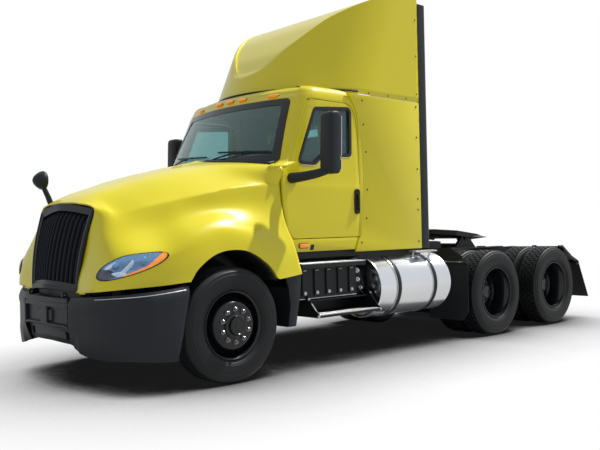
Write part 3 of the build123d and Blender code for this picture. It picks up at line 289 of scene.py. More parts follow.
class Shape:
    """Vertices and faces gathered for one piece, x from the front axle."""

    def __init__(self, verts=(), faces=()):
        self.verts = []
        self.faces = []
        self.add(verts, faces)

    def add(self, verts, faces):
        base = len(self.verts)
        self.verts.extend(tuple(float(c) for c in v) for v in verts)
        self.faces.extend(tuple(base + k for k in face) for face in faces)
        return self

    def grid(self, rows, close_rows=False, close_cols=False):
        """Quads between rows of points."""
        high, wide = len(rows), len(rows[0])
        faces = []
        for i in range(high if close_rows else high - 1):
            for j in range(wide if close_cols else wide - 1):
                low, up = i * wide, (i + 1) % high * wide
                faces.append((low + j, low + (j + 1) % wide, up + (j + 1) % wide, up + j))
        return self.add([v for row in rows for v in row], faces)

    def prism(self, outline, low, high, axis="y"):
        """A closed outline pushed along an axis. It is (x, z), (x, y) or (y, z)."""
        lift = {"y": lambda p, h: (p[0], h, p[1]), "z": lambda p, h: (p[0], p[1], h),
                "x": lambda p, h: (h, p[0], p[1])}[axis]
        count = len(outline)
        verts = [lift(p, low) for p in outline] + [lift(p, high) for p in outline]
        faces = [tuple(range(count)), tuple(range(2 * count - 1, count - 1, -1))]
        faces += [(k, (k + 1) % count, count + (k + 1) % count, count + k) for k in range(count)]
        return self.add(verts, faces)

    def box(self, x0, x1, y0, y1, z0, z1):
        return self.prism([(x0, z0), (x1, z0), (x1, z1), (x0, z1)], y0, y1)

    def tube(self, path, radius, sides=10, closed=False):
        """A round bar along a path. radius is one number or one for each point."""
        path = [Vector(p) for p in path]
        radii = radius if isinstance(radius, (list, tuple)) else [radius] * len(path)
        rows = []
        reference = None
        for k, point in enumerate(path):
            last = path[k - 1] if k or closed else point
            following = path[(k + 1) % len(path)] if k < len(path) - 1 or closed else point
            along = (following - last).normalized()
            if reference is None:
                reference = Vector((0, 0, 1)) if abs(along.z) < 0.9 else Vector((1, 0, 0))
            side = along.cross(reference).normalized()
            reference = side.cross(along).normalized()
            rows.append([point + float(radii[k]) * (math.cos(turn) * side + math.sin(turn) * reference)
                         for turn in turns(sides)])
        base = len(self.verts)
        self.grid(rows, close_rows=closed, close_cols=True)
        if not closed:
            end = base + (len(rows) - 1) * sides
            self.faces.append(tuple(range(base, base + sides)))
            self.faces.append(tuple(range(end + sides - 1, end - 1, -1)))
        return self

    def rod(self, start, end, radius, sides=16):
        return self.tube([start, end], radius, sides)

    def bolt(self, place, aim, radius=.009, height=.008):
        """A six-sided head on a small washer."""
        place, aim = Vector(place), Vector(aim).normalized()
        self.rod(place, place + aim * height * .3, radius * 1.45, 12)
        return self.rod(place + aim * height * .3, place + aim * height, radius, 6)

    def turned(self, profile, centre, side=1, steps=72, closed=True):
        """(radius, distance out) points turned about a crosswise line through centre."""
        x, y, z = centre
        rows = [[(x + r * math.sin(turn), y + side * out, z + r * math.cos(turn)) for r, out in profile]
                for turn in turns(steps)]
        return self.grid(rows, close_rows=True, close_cols=closed)

    def barrel(self, profile, y, z, steps):
        """(x, radius) points turned about a lengthways line."""
        return self.grid([[(x, y + r * math.sin(turn), z + r * math.cos(turn)) for x, r in profile]
                          for turn in turns(steps)], close_rows=True)

    def upright(self, profile, x, y, steps):
        """(radius, z) points turned about an upright line."""
        return self.grid([[(x + r * math.cos(turn), y + r * math.sin(turn), z) for r, z in profile]
                          for turn in turns(steps)], close_rows=True)

    def moved(self, place):
        """Every point moved by place(x, y, z)."""
        self.verts = [tuple(float(c) for c in place(*v)) for v in self.verts]
        return self

    def flipped(self):
        """The same shape on the other side of the middle plane."""
        return Shape([(x, -y, z) for x, y, z in self.verts], self.faces)

    def mirror(self):
        """Add the same shape on the other side of the middle plane."""
        return self.add(self.flipped().verts, [tuple(reversed(face)) for face in self.faces])

    def sliced(self, x_cuts=(), z_cuts=()):
        """The same shape, cut into strips so that it can be bent."""
        work = bmesh.new()
        verts = [work.verts.new(v) for v in self.verts]
        for face in self.faces:
            if len(set(face)) == len(face):
                work.faces.new([verts[k] for k in face])
        cuts = [(Vector((1, 0, 0)), x) for x in x_cuts] + [(Vector((0, 0, 1)), z) for z in z_cuts]
        for aim, place in cuts:
            bmesh.ops.bisect_plane(work, geom=work.verts[:] + work.edges[:] + work.faces[:],
                                   dist=1e-5, plane_co=aim * place, plane_no=aim)
        work.verts.index_update()
        result = Shape([v.co for v in work.verts], [[v.index for v in f.verts] for f in work.faces])
        work.free()
        return result


def mesh_of(shape, outward=True):
    """A Blender mesh in the frame's place, its doubled points merged, its faces turned outward."""
    mesh = bpy.data.meshes.new("mesh")
    mesh.from_pydata([(x + FA, y, z) for x, y, z in shape.verts], [], shape.faces)
    work = bmesh.new()
    work.from_mesh(mesh)
    bmesh.ops.remove_doubles(work, verts=work.verts, dist=MERGE)
    if outward:
        bmesh.ops.recalc_face_normals(work, faces=work.faces)
    work.to_mesh(mesh)
    work.free()
    return mesh


def piece(name, shape, mat, body="chassis", replaces="", bevel=0.0, thick=0.0, angle=40, outward=True):
    """Make a piece of the object from a shape, riding on a body. It may stand for a CAD node."""
    mesh = mesh_of(shape, outward)
    mesh.name = name
    obj = bpy.data.objects.new(name, mesh)
    bpy.context.scene.collection.objects.link(obj)
    mesh.materials.append(mat)
    mesh.polygons.foreach_set("use_smooth", [True] * len(mesh.polygons))
    mesh.set_sharp_from_angle(angle=math.radians(angle))
    if thick:
        wall = obj.modifiers.new("wall", "SOLIDIFY")
        wall.thickness = thick
        wall.offset = -1
    if bevel:
        edge = obj.modifiers.new("edge", "BEVEL")
        edge.width = bevel
        edge.segments = 2
        edge.limit_method = "ANGLE"
        edge.angle_limit = math.radians(40)
    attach(obj, body)
    if replaces:
        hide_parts(replaces)
    return obj


def both(name, shape, mat, body="chassis", replaces="", **options):
    """The left piece and its mirror image. {} in a name stands for the side; the left piece
    alone stands for a CAD node that has both sides."""
    for side_name, side in SIDES:
        node = replaces.format(side_name) if side > 0 or "{}" in replaces else ""
        made = piece(name.format(side_name), shape if side > 0 else shape.flipped(), mat,
                     body.format(side_name), node, **options)
    return made


def plate(outer, holes, y0, y1, edge=0.004):
    """A flat plate between two y with (x, z) outlines, holes cut through, edges rounded."""
    curve = bpy.data.curves.new("plate", "CURVE")
    curve.dimensions = "2D"
    curve.fill_mode = "BOTH"
    curve.extrude = abs(y1 - y0) / 2 - edge
    curve.bevel_depth = edge
    curve.bevel_resolution = 1
    curve.offset = -edge
    for outline in [outer, *holes]:
        line = curve.splines.new("POLY")
        line.points.add(len(outline) - 1)
        for point, (x, z) in zip(line.points, outline):
            point.co = (x, z, 0, 1)
        line.use_cyclic_u = True
    holder = bpy.data.objects.new("plate", curve)
    bpy.context.scene.collection.objects.link(holder)
    mesh = bpy.data.meshes.new_from_object(holder)
    bpy.data.objects.remove(holder)
    middle = (y0 + y1) / 2
    return Shape([(v.co.x, middle - v.co.z, v.co.y) for v in mesh.vertices],
                 [p.vertices for p in mesh.polygons])


class Skin:
    """A surface that patches are laid on, found by rays along a direction."""

    def __init__(self, shape, direction):
        mesh = mesh_of(shape, outward=False)
        self.tree = BVHTree.FromPolygons([v.co for v in mesh.vertices],
                                         [tuple(p.vertices) for p in mesh.polygons])
        self.aim = Vector(direction).normalized()
        self.across = Vector((0, 0, 1)).cross(self.aim).normalized()

    def flat(self, point):
        """A 3-D point's place in the flat view along the direction."""
        return (Vector(point).dot(self.across), point[2])

    def hit(self, a, z, lift=0.0):
        """The surface's point at a place in that view, lifted along its normal."""
        origin = Vector((FA, 0, z)) + self.across * a - self.aim * RAY_START
        place, normal, _, _ = self.tree.ray_cast(origin, self.aim, 2 * RAY_START)
        if normal.dot(self.aim) > 0:
            normal = -normal
        place = place + normal * lift
        return (place.x - FA, place.y, place.z)


# ---- Hood ----------------------------------------------------------------------------------------
# Control net of the left half, from the grille back. Across each row: crown, shoulder, crease,
# waist, bulge, flank, lower edge. (x, y, z) each.
HOOD_NET = [
    [(1.030, 0, 1.600), (1.010, .300, 1.588), (.965, .519, 1.533), (1.005, .500, 1.330),
     (1.050, .475, 1.100), (1.085, .455, .950), (1.100, .450, .827)],
    [(.950, 0, 1.645), (.930, .320, 1.625), (.885, .585, 1.512), (.960, .670, 1.330),
     (1.030, .800, 1.090), (1.075, .780, .970), (1.085, .780, .852)],
    [(.830, 0, 1.693), (.810, .340, 1.670), (.787, .650, 1.490), (.830, .780, 1.330),
     (.912, .930, 1.142), (.930, .925, 1.000), (.950, .930, .868)],
    [(.600, 0, 1.765), (.590, .400, 1.735), (.570, .760, 1.545), (.585, .865, 1.360),
     (.620, 1.050, 1.165), (.650, 1.075, 1.060), (.670, 1.090, .888)],
    [(.374, 0, 1.835), (.370, .460, 1.800), (.360, .840, 1.595), (.360, .930, 1.430),
     (.370, 1.105, 1.300), (.380, 1.155, 1.120), (.390, 1.165, .906)],
    [(.100, 0, 1.910), (.100, .500, 1.865), (.090, .915, 1.655), (.090, .955, 1.500),
     (.090, 1.100, 1.395), (.090, 1.165, 1.250), (.090, 1.175, .868)],
    [(-.217, 0, 1.980), (-.225, .560, 1.922), (-.210, .950, 1.708), (-.200, .985, 1.530),
     (-.200, 1.100, 1.375), (-.200, 1.168, 1.230), (-.200, 1.175, .868)],
    [(-.360, 0, 2.012), (-.455, .790, 1.928), (-.470, .980, 1.730), (-.460, 1.005, 1.530),
     (-.460, 1.090, 1.330), (-.460, 1.160, 1.150), (-.470, 1.170, .868)],
    [(-.425, 0, 2.030), (-.672, .958, 1.936), (-.680, 1.000, 1.737), (-.680, 1.022, 1.550),
     (-.690, 1.065, 1.370), (-.750, 1.120, 1.150), (-.815, 1.140, .900)],
]
HOOD_ROWS, HOOD_COLUMNS = 97, 61
FINE = 40                                      # samples between two of the net's points
CREASE = 2                                     # the crease's place in a row
CREASE_ROWS = 40                               # rows over which the crease becomes crisp
TOP_COLUMNS, TOP_SAMPLES = 36, 100             # columns and samples down to above the bulge
# Wheel arch in side view, front to back
ARCH = spline([(.469, .844), (.425, .925), (.356, 1.018), (.201, 1.119), (.021, 1.155), (-.175, 1.130),
               (-.376, 1.015), (-.470, .915), (-.535, .817)], 60)
# Lip turned in along the lower edge: its width over the arch and elsewhere, how far the wide part
# goes on past the arch's ends, and how much it rises
ARCH_FLANGE, EDGE_FLANGE, FLANGE_PAST, FLANGE_RISE = .045, .020, .03, .004
LINER_Y = (1.115, .90, .645)


def arch_height(x):
    """The arch's height above the wheel, or below the ground away from it."""
    return falling_table(x, ARCH) if ARCH[-1, 0] <= x <= ARCH[0, 0] else -1.0


def hood_row(down, k):
    """One row across the hood, cut off at its lower edge or the wheel arch."""
    # the crease is a crisp line, so each side of it has a curve of its own
    spans = len(down) - 1
    soft = spline(down[:, k], spans * FINE + 1)
    crisp = np.vstack([spline(down[:CREASE + 1, k], CREASE * FINE + 1)[:-1],
                       spline(down[CREASE:, k], (spans - CREASE) * FINE + 1)])
    share = min(1, k / CREASE_ROWS) ** 1.5
    fine = soft * (1 - share) + crisp * share
    last = len(fine) - 1
    for n in range(3 * FINE, len(fine)):
        if fine[n, 2] < arch_height(fine[n, 0]):
            last = n
            break
    wanted = np.concatenate([np.linspace(0, TOP_SAMPLES, TOP_COLUMNS),
                             np.linspace(TOP_SAMPLES, last, HOOD_COLUMNS - TOP_COLUMNS + 1)[1:]])
    row = np.stack([np.interp(wanted, np.arange(len(fine)), fine[:, c]) for c in range(3)], 1)
    row[-1, 2] = max(row[-1, 2], arch_height(row[-1, 0]))
    row[0, 1] = 0
    return row


net = np.array(HOOD_NET, float)
down = np.array([spline(net[:, k], HOOD_ROWS) for k in range(net.shape[1])])
hood_rows = [hood_row(down, k) for k in range(HOOD_ROWS)]
edge_line = [row[-1] for row in hood_rows]
lip = []                                       # turned in under the fender
for x, y, z in edge_line:
    over_arch = ARCH[-1, 0] - FLANGE_PAST < x < ARCH[0, 0] + FLANGE_PAST
    lip.append((x, y - (ARCH_FLANGE if over_arch else EDGE_FLANGE), z + (FLANGE_RISE if over_arch else 0)))
hood = Shape().grid(hood_rows).grid([edge_line, lip]).mirror()
piece("hood_skin", hood, YELLOW, "hood", "hood", thick=0.012, angle=50)
HOOD_SIDE = Skin(hood, (-0.55, -1, 0))

# Black liners inside the wheel arches
curve = [(x * 1.02, z + .014) for x, z in ARCH[::3]]
liner = Shape().grid([[(x, y, z) for x, z in curve] for y in LINER_Y])
liner.grid([[(x, LINER_Y[-1], z - drop) for x, z in curve] for drop in (0, .17)])
both("arch_liner_{}", liner, CHASSIS, "hood", thick=.004, outward=False)

# ---- Grille --------------------------------------------------------------------------------------
# The face is a shallow V in plan that leans back. Its foot and its head: x in the middle, x at
# the edge, half width, z in the middle, z at the edge.
GRILLE_FOOT = (1.203, 1.104, .450, .855, .822)
GRILLE_HEAD = (1.034, .970, .519, 1.600, 1.533)
GRILLE_BARS = 14
BAR_HALF = .0085
BAR_SPREAD = .88                               # share of the width that the bars fill
BAR_FOOT, BAR_RISE = .09, .815                 # shares of the height where they start, and that they span
BAR_STEPS, BAR_STRAIGHT = 14, 12               # points up a bar, and where its head turns inward
BAR_SINK = .030                                # how far it lies behind the face
# A bar's section: (distance ahead, share of its half width)
BAR_SECTION = [(.006, 0), (.003, .5), (-.012, 1), (-.055, 1), (-.055, -1), (-.012, -1), (.003, -.5)]
# Rings of the surround from its outer edge in: shares drawn in at the sides, foot and head, distance back
SURROUND = [(0, 0, 0, .060), (0, 0, 0, .010), (.014, .008, .008, .001), (.030, .060, .022, .000),
            (.045, .070, .045, .010), (.105, .078, .060, .016), (.118, .098, .092, .022),
            (.125, .104, .098, .090)]


def grille_point(u, v, back=0.0):
    """A point on the grille's face: u across from -1 to 1, v up from 0 to 1."""
    xm, xe, half, zm, ze = (a + (b - a) * v for a, b in zip(GRILLE_FOOT, GRILLE_HEAD))
    ridge = math.sqrt(u * u + 0.01) / math.sqrt(1.01)
    swell = 0.03 * math.sin(math.pi * v)
    return (xm + (xe - xm) * ridge + swell - back, u * half, zm + (ze - zm) * ridge ** 1.6)


def grille_ring(side, foot, head, back, count=26):
    """Points round the face, drawn in from its edges."""
    u, v0, v1 = 1 - side, foot, 1 - head
    corners = [(-u, v0), (u, v0), (u, v1), (-u, v1), (-u, v0)]
    return [grille_point(a[0] + (b[0] - a[0]) * k / count, a[1] + (b[1] - a[1]) * k / count, back)
            for a, b in zip(corners, corners[1:]) for k in range(count)]


surround = Shape().grid([grille_ring(*row) for row in SURROUND], close_cols=True)
piece("grille_surround", surround, PLASTIC, "hood", "grille", angle=28)

bars = Shape()
for k in range(GRILLE_BARS):
    u = BAR_SPREAD * ((k + 0.5) / GRILLE_BARS * 2 - 1)
    rows = []
    for step in range(BAR_STEPS + 1):
        sink = BAR_SINK + BAR_SINK * max(0, (step - BAR_STRAIGHT) / 2) ** 2
        x, y, z = grille_point(u, BAR_FOOT + BAR_RISE * step / BAR_STEPS, sink)
        rows.append([(x + ahead, y + share * BAR_HALF, z) for ahead, share in BAR_SECTION])
    bars.grid(rows, close_cols=True)
piece("grille_bars", bars, PLASTIC, "hood", angle=30)

screen = Shape().grid([[grille_point(u, v, .085) for u in np.linspace(-.9, .9, 25)]
                       for v in np.linspace(.085, .93, 12)])
piece("grille_screen", screen, CHASSIS, "hood", angle=30, outward=False)

# ---- Bumper --------------------------------------------------------------------------------------
# Plan of the left half's face, its lower edge as (y, z) and the side's top as (x, z)
BUMPER_PLAN = [(1.195, 0.0), (1.192, .20), (1.180, .40), (1.150, .58), (1.092, .78), (1.000, .96),
               (.900, 1.075), (.800, 1.135), (.690, 1.160), (.590, 1.172)]
BUMPER_LOW = [(0.0, .400), (.35, .392), (.46, .365), (.66, .318), (.86, .296), (1.03, .300),
              (1.13, .290), (1.172, .272)]
SIDE_TOP = [(.455, .876), (.67, .856), (.92, .834), (1.03, .822), (1.10, .810), (1.175, .796)]
SIDE_SHARES = [0, .015, .05, .09, .13, .18, .22, .26, .32, .4, .5, .58, .64, .70, .76, .82, .88,
               .94, .98, 1.0]                  # rows, as shares of the way down
SIDE_END_X, SIDE_END_SLANT, SIDE_END_Y = .462, .128, 1.172     # its rear edge, slanting in front of the tyre
TOP_DEEP, TOP_SHARE = .022, .12                # rounding of its top: depth, and share of the height
TUCK_SIDE, TUCK_FRONT, TUCK_Y, TUCK_FROM = .018, .085, .55, .60     # how its foot draws in
RECESS_DEEP, RECESS_Y, RECESS_SHARE = .010, (.46, 1.02), (.20, .72)
NOSE_TOP, NOSE_FOOT, NOSE_HALF = .790, .395, .430
BUMPER_SEAM = .004
POCKET_Y, POCKET_Z, POCKET_DEEP = (.062, .418), (.566, .704), .028
LEDGE_Y, LEDGE_Z = (.066, .130), (.575, .690)  # a shallower field in each pocket
SLOT_Y, SLOT_Z, SLOT_DEEP = (.312, .368), (.440, .502), .045
CHIN = [(NOSE_FOOT, .075), (.44, .052), (.50, .044), (.532, .034), (.546, .0)]     # (z, set back by)
# The middle section's columns and rows, close together where its pockets, slots and chin have edges
NOSE_Y = [0, .030, .050, .056, .060, .064, .070, .100, .128, .132, .180, .230, .280, .300, .309, .313,
          .318, .340, .362, .367, .371, .380, .400, .412, .416, .420, .424, NOSE_HALF - BUMPER_SEAM]
NOSE_Z = [NOSE_TOP, .786, .778, .768, .756, .747, .742, .737, .728, .718, .710, .706, .702, .698, .690,
          .670, .640, .610, .585, .574, .569, .565, .560, .554, .546, .538, .532, .524, .514, .508, .504,
          .500, .495, .480, .460, .447, .442, .438, .432, .422, .410, .403, NOSE_FOOT]
plan_fine = spline(BUMPER_PLAN, 160)


def along_plan(line, count):
    """(x, y, outward x, outward y) at evenly spaced points of a line in plan."""
    line = even(line, count)
    result = []
    for k, (x, y) in enumerate(line):
        along = line[min(k + 1, count - 1)] - line[max(k - 1, 0)]
        result.append((x, y, *(np.array([along[1], -along[0]]) / np.linalg.norm(along))))
    return result


def ramp(value, start, long):
    """0 up to start, then rising to 1."""
    return min(1, max(0, (value - start) / long))


def side_row(share, start, count):
    """One row of the side's face, share of the way down it, from y = start to the tyre."""
    rear_edge = (SIDE_END_X + SIDE_END_SLANT * share, SIDE_END_Y)
    line = np.vstack([plan_fine[plan_fine[:, 1] >= start], [rear_edge]])
    row = []
    for x, y, out_x, out_y in along_plan(line, count):
        top = table(x, SIDE_TOP)
        back = TOP_DEEP * max(0, TOP_SHARE - share) / TOP_SHARE + (.008 if share < .02 else 0)
        tuck = TUCK_SIDE + TUCK_FRONT * max(0, 1 - y / TUCK_Y) ** .5
        back += tuck * ramp(share, TUCK_FROM, 1 - TUCK_FROM) ** 1.5
        along = ramp(y, RECESS_Y[0], .12) * ramp(-y, -RECESS_Y[1], .3)
        back += RECESS_DEEP * along * ramp(share, RECESS_SHARE[0], .06) * ramp(-share, -RECESS_SHARE[1], .10)
        row.append((x - out_x * back, y - out_y * back, top + (table(y, BUMPER_LOW) - top) * share))
    return row


def step_in(value, low, high, edge=.004):
    """1 inside a range, 0 outside it, with a short slope between."""
    return float(np.clip(min(value - low, high - value) / edge + .5, 0, 1))


def nose_point(y, z):
    """The middle section's face: brow, two pockets, a set-back chin and the tow slots."""
    share = (NOSE_TOP - z) / (NOSE_TOP - NOSE_FOOT)
    on_ledge = LEDGE_Y[0] < y < LEDGE_Y[1] and LEDGE_Z[0] < z < LEDGE_Z[1]
    back = .010 if z == NOSE_TOP else 0.0
    back += .006 * step_in(z, .737, .747)
    back += POCKET_DEEP * step_in(y, *POCKET_Y) * step_in(z, *POCKET_Z) * (.45 if on_ledge else 1)
    back += table(z, CHIN)
    back += SLOT_DEEP * step_in(y, *SLOT_Y) * step_in(z, *SLOT_Z)
    x = table(y, [(y, x) for x, y in BUMPER_PLAN])
    return (x - back, y, NOSE_TOP + (table(y, BUMPER_LOW) - NOSE_TOP) * share)


def moulding(rows):
    """A moulded face with its four edges returned inward."""
    shape = Shape().grid(rows)
    shape.grid([[(x - .045, y * .97, z) for x, y, z in rows[0]], rows[0]])
    shape.grid([rows[-1], [(x - .035, y * .985, z + .004) for x, y, z in rows[-1]]])
    for end in (0, -1):
        column = [row[end] for row in rows]
        shape.grid([column, [(x - .03, y - (.02 if y > 1 else 0), z) for x, y, z in column]])
    return shape


nose = [[nose_point(y, z) for y in NOSE_Y] for z in NOSE_Z]
nose = [[(x, -y, z) for x, y, z in row[:0:-1]] + row for row in nose]
piece("bumper_middle", moulding(nose), PLASTIC, angle=28, thick=.006)
side_rows = [side_row(share, NOSE_HALF + BUMPER_SEAM, 60) for share in SIDE_SHARES]
piece("bumper_sides", moulding(side_rows).mirror(), PLASTIC, replaces="bumper", angle=35, thick=.006)

# Dark trough under the grille, and a painted highlight along the sides' top: a thin bright steel bar where
# light runs along the edge
front = along_plan(plan_fine[plan_fine[:, 1] <= NOSE_HALF], 20)
front = [(x - out_x * .008, y - out_y * .008) for x, y, out_x, out_y in front]
trough = Shape().grid([[(x - back, y * .98, z) for x, y in front] for back, z in
                       ((.05, NOSE_TOP - .002), (.12, NOSE_TOP - .010), (.13, .90))]).mirror()
piece("bumper_trough", trough, CHASSIS)
# painted highlight: bright steel standing in for the light along the bumper's top edge
glint = Shape().tube([(x - .001, y - .001, z) for x, y, z in side_row(.045, .70, 40)[2:-1]], .0035, 6)
piece("bumper_painted_highlight", glint.mirror(), STEEL)

# ---- Headlamps -----------------------------------------------------------------------------------
# Outline on the hood's left front corner: (x, y, z), from the inner tip round the top
LAMP_OUTLINE = [(1.084, .780, .965), (1.066, .800, 1.030), (1.014, .870, 1.090), (.912, .930, 1.138),
                (.771, 1.000, 1.157), (.640, 1.050, 1.160), (.600, 1.080, 1.130),
                (.676, 1.070, 1.068), (.786, 1.020, 1.015), (.911, .920, .968), (1.035, .820, .942)]
AMBER_OUTLINE = [(.636, 1.052, 1.152), (.606, 1.075, 1.131), (.680, 1.068, 1.073), (.786, 1.018, 1.020),
                 (.905, .925, .974), (.925, .905, .976), (.868, .955, .997), (.780, 1.018, 1.040),
                 (.712, 1.045, 1.080)]
TIP_OUTLINE = [(1.078, .786, .965), (1.066, .800, 1.018), (1.030, .850, 1.035), (.985, .885, 1.010),
               (.960, .900, .978), (1.020, .830, .950), (1.050, .805, .948)]
FACETS = {
    "inner": [(1.040, .835, 1.035), (.985, .888, 1.085), (.975, .893, 1.078), (1.010, .862, 1.035)],
    "middle": [(.950, .912, 1.005), (.900, .948, 1.065), (.862, .965, 1.105), (.858, .968, 1.075),
               (.895, .950, 1.025), (.930, .920, .992)],
    "low": [(1.000, .860, 1.000), (.930, .925, 1.012), (.905, .935, .985), (.960, .890, .972)],
}
CURVE_FINE = 12                                # samples between two of an outline's points


def closed_curve(points, count):
    """A smooth closed line through flat points."""
    points = list(points)
    ring = points[-2:] + points + points[:2]
    curve = spline(ring, (len(ring) - 1) * CURVE_FINE + 1)
    start = 2 * CURVE_FINE
    return even(curve[start:start + len(points) * CURVE_FINE + 1], count + 1)[:-1]


def on_hood(points, count=40):
    """A smooth closed line through 3-D points, flat as seen along HOOD_SIDE's direction."""
    return closed_curve([HOOD_SIDE.flat(p) for p in points], count)


def round_outline(middle, radius, squeeze):
    a, z = HOOD_SIDE.flat(middle)
    turn = np.array(turns(32))
    return np.stack([a + radius * squeeze * np.cos(turn), z + radius * np.sin(turn)], 1)


def lamp_piece(name, outline, lift, mat, rings=7, dome=0.0, rim=None):
    """A patch laid on the hood inside a flat outline. dome swells its middle, rim lifts its edge."""
    centre = outline.mean(0)
    shape = Shape()
    rows = []
    for ring in range(rings):
        share = 1 - ring / rings
        height = rim if rim is not None and ring == 0 else lift + dome * (1 - share ** 2)
        rows.append([HOOD_SIDE.hit(*(centre + (p - centre) * share), height) for p in outline])
    shape.grid(rows, close_cols=True)
    middle = len(shape.verts)
    last = middle - len(outline)
    shape.verts.append(HOOD_SIDE.hit(*centre, lift + dome))
    shape.faces += [(last + k, last + (k + 1) % len(outline), middle) for k in range(len(outline))]
    return both(name + "_{}", shape, mat, "hood")


def lamp_outline(size):
    """The whole lamp's outline, scaled about its middle."""
    whole = on_hood(LAMP_OUTLINE, 64)
    return whole.mean(0) + (whole - whole.mean(0)) * size


lamp_piece("lamp_housing", lamp_outline(1.03), .004, EDGE_BLACK, rim=.0005)
lamp_piece("lamp_bowl", lamp_outline(.93), .0060, LAMP_BLUE, rings=12, dome=.002)
lamp_piece("lamp_shade", on_hood(TIP_OUTLINE), .0075, LAMP_DARK, dome=.001)
for label, points in FACETS.items():
    lamp_piece(f"lamp_facets_{label}", on_hood(points), .0080, LAMP_FROST, dome=.003)
for label, middle, radius, squeeze in (("main", (.790, .992, 1.092), .036, .95),
                                       ("dip", (.975, .890, 1.056), .026, 1.1)):
    lamp_piece(f"lamp_projector_{label}", round_outline(middle, radius, squeeze), .0085, LAMP_BLUE, dome=.009)
lamp_piece("lamp_amber", on_hood(AMBER_OUTLINE), .010, AMBER, dome=.003)
cover = lamp_piece("lamp_cover", lamp_outline(.97), .0130, CLEAR, dome=.010, rim=.004)
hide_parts("headlamps")

# ---- Roof fairing --------------------------------------------------------------------------------
SEAM_Z = 2.690
FAIRING_FRONT, FAIRING_LEAN = -.945, .4325      # x of its front at the seam, and how far it leans back
FAIRING_BACK = -2.720
TURN_DEPTH = 1.005                             # length of the nose's round turn in plan
CREST = spline([(-.900, 2.690), (-1.010, 2.890), (-1.109, 2.990), (-1.202, 3.110), (-1.314, 3.240),
                (-1.541, 3.450), (-1.674, 3.545), (-1.847, 3.640), (-2.050, 3.730), (-2.350, 3.840),
                (-2.720, 3.927)], 300)
# The rolled lip's width and the roof's dish inside it, by the distance behind the front axle
LIP_WIDTH = [(1.03, .062), (1.15, .058), (1.40, .026), (1.90, .010), (2.8, .008)]
DISH_DEPTH = [(1.03, .012), (1.08, .024), (1.20, .030), (1.54, .026), (1.75, .014), (2.10, .0)]


def wall_point(run, z):
    """A point on the fairing's wall. run goes from 0 in the middle to 1 at the rear edge."""
    front = FAIRING_FRONT - FAIRING_LEAN * (z - SEAM_Z)
    if run < .5:
        turn = math.pi * run
        return (front - TURN_DEPTH * (1 - math.cos(turn)), CAB_Y * math.sin(turn), z)
    start = front - TURN_DEPTH
    return (start + (FAIRING_BACK - start) * (run - .5) * 2, CAB_Y, z)


def wall_top(run):
    return last_true(lambda z: falling_table(wall_point(run, z)[0], CREST) > z, SEAM_Z + .1, 4.0, 30)


def inset_line(line, widths):
    """The crest moved in, in plan, with its height from the roof's slope."""
    result = []
    for k, (x, y, z) in enumerate(line):
        along = line[min(k + 1, len(line) - 1)] - line[max(k - 1, 0)] if k else np.array((0, 1.0, 0))
        inward = np.array((-along[1], along[0])) / np.hypot(along[0], along[1])
        x += inward[0] * widths[k]
        result.append((x, max(0.0, y + inward[1] * widths[k]), falling_table(x, CREST)))
    return np.array(result)


runs = np.concatenate([np.linspace(0, .5, 41), np.linspace(.5, 1, 19)[1:]])
crest_line = np.array([wall_point(run, wall_top(run)) for run in runs])
crest_line[-1, 0] = FAIRING_BACK
foot_z = np.array([SEAM_Z + .028 * max(0, math.cos(math.pi * min(run, .5))) ** .6 for run in runs])
wall_rows = []
for share in np.linspace(0, 1, 21):
    heights = foot_z + (crest_line[:, 2] - foot_z) * share
    wall_rows.append([wall_point(run, z) for run, z in zip(runs, heights)])
widths = [table(-x, LIP_WIDTH) for x in crest_line[:, 0]]
edge_in = inset_line(crest_line, [.006] * len(widths)) + (0, 0, .003)
lip_in = inset_line(crest_line, widths)
dish_edge = inset_line(crest_line, [width + .012 for width in widths])
dish_edge[:, 2] -= [table(-x, DISH_DEPTH) for x in dish_edge[:, 0]]
fairing = Shape().grid(wall_rows)
for outer, inner in ((wall_rows[-1], edge_in), (edge_in, lip_in), (lip_in, dish_edge)):
    fairing.grid([outer, inner])
fairing.grid([[(x, y * u, z) for u in np.linspace(1, 0, 9)] for x, y, z in dish_edge])
piece("fairing_shell", fairing.mirror(), YELLOW, replaces="roof_fairing", thick=.012, angle=24)
path = [(x + .002, y * 1.001, z + .020) for x, y, z in wall_rows[0][:54] if x > -1.78]
seal = Shape().tube(path, .009, 8)
piece("fairing_seal", seal.mirror(), CHASSIS)

# ---- Cab -----------------------------------------------------------------------------------------
CAB_BACK, CAB_FLOOR, CAB_WALL = -1.800, 1.100, .065
BELT_Z, HEADER_Z, CREASE_Z = 1.900, 2.655, 1.730
BELT_PLAN = spline([(0, -.445), (.250, -.458), (.550, -.512), (.800, -.600), (.950, -.700),
                    (1.030, -.780)], 200)
HEADER_PLAN = spline([(0, -.872), (.240, -.884), (.520, -.926), (.750, -.985), (.900, -1.030),
                      (1.030, -1.085)], 200)
ROOF_TURN = spline([(2.560, 0), (2.620, .003), (2.655, .010), (2.680, .022), (2.700, .040), (2.718, .066),
                    (2.735, .115)], 80)        # how far the roof's edge is drawn in, by height
SIDE_LEAN = [(1.10, .016), (1.227, .012), (1.40, .006), (1.60, .002), (CREASE_Z, 0), (1.76, .003),
             (1.90, .006), (2.30, .010), (2.66, .014)]     # how far the side leans in, by height
SCREEN_EDGE = [(2.000, .900), (2.560, .800)]
DOOR_FRONT_X = [(1.960, -.790), (2.580, -1.060), (2.640, -1.086)]
TURN_FROM = .935                               # y at which the pillar starts to turn into the side
TURN_LONG = .095                               # length of that turn along the side
DOOR_GAP = .006
DOOR_ZONE = .30                                # length behind the door's edge with close columns
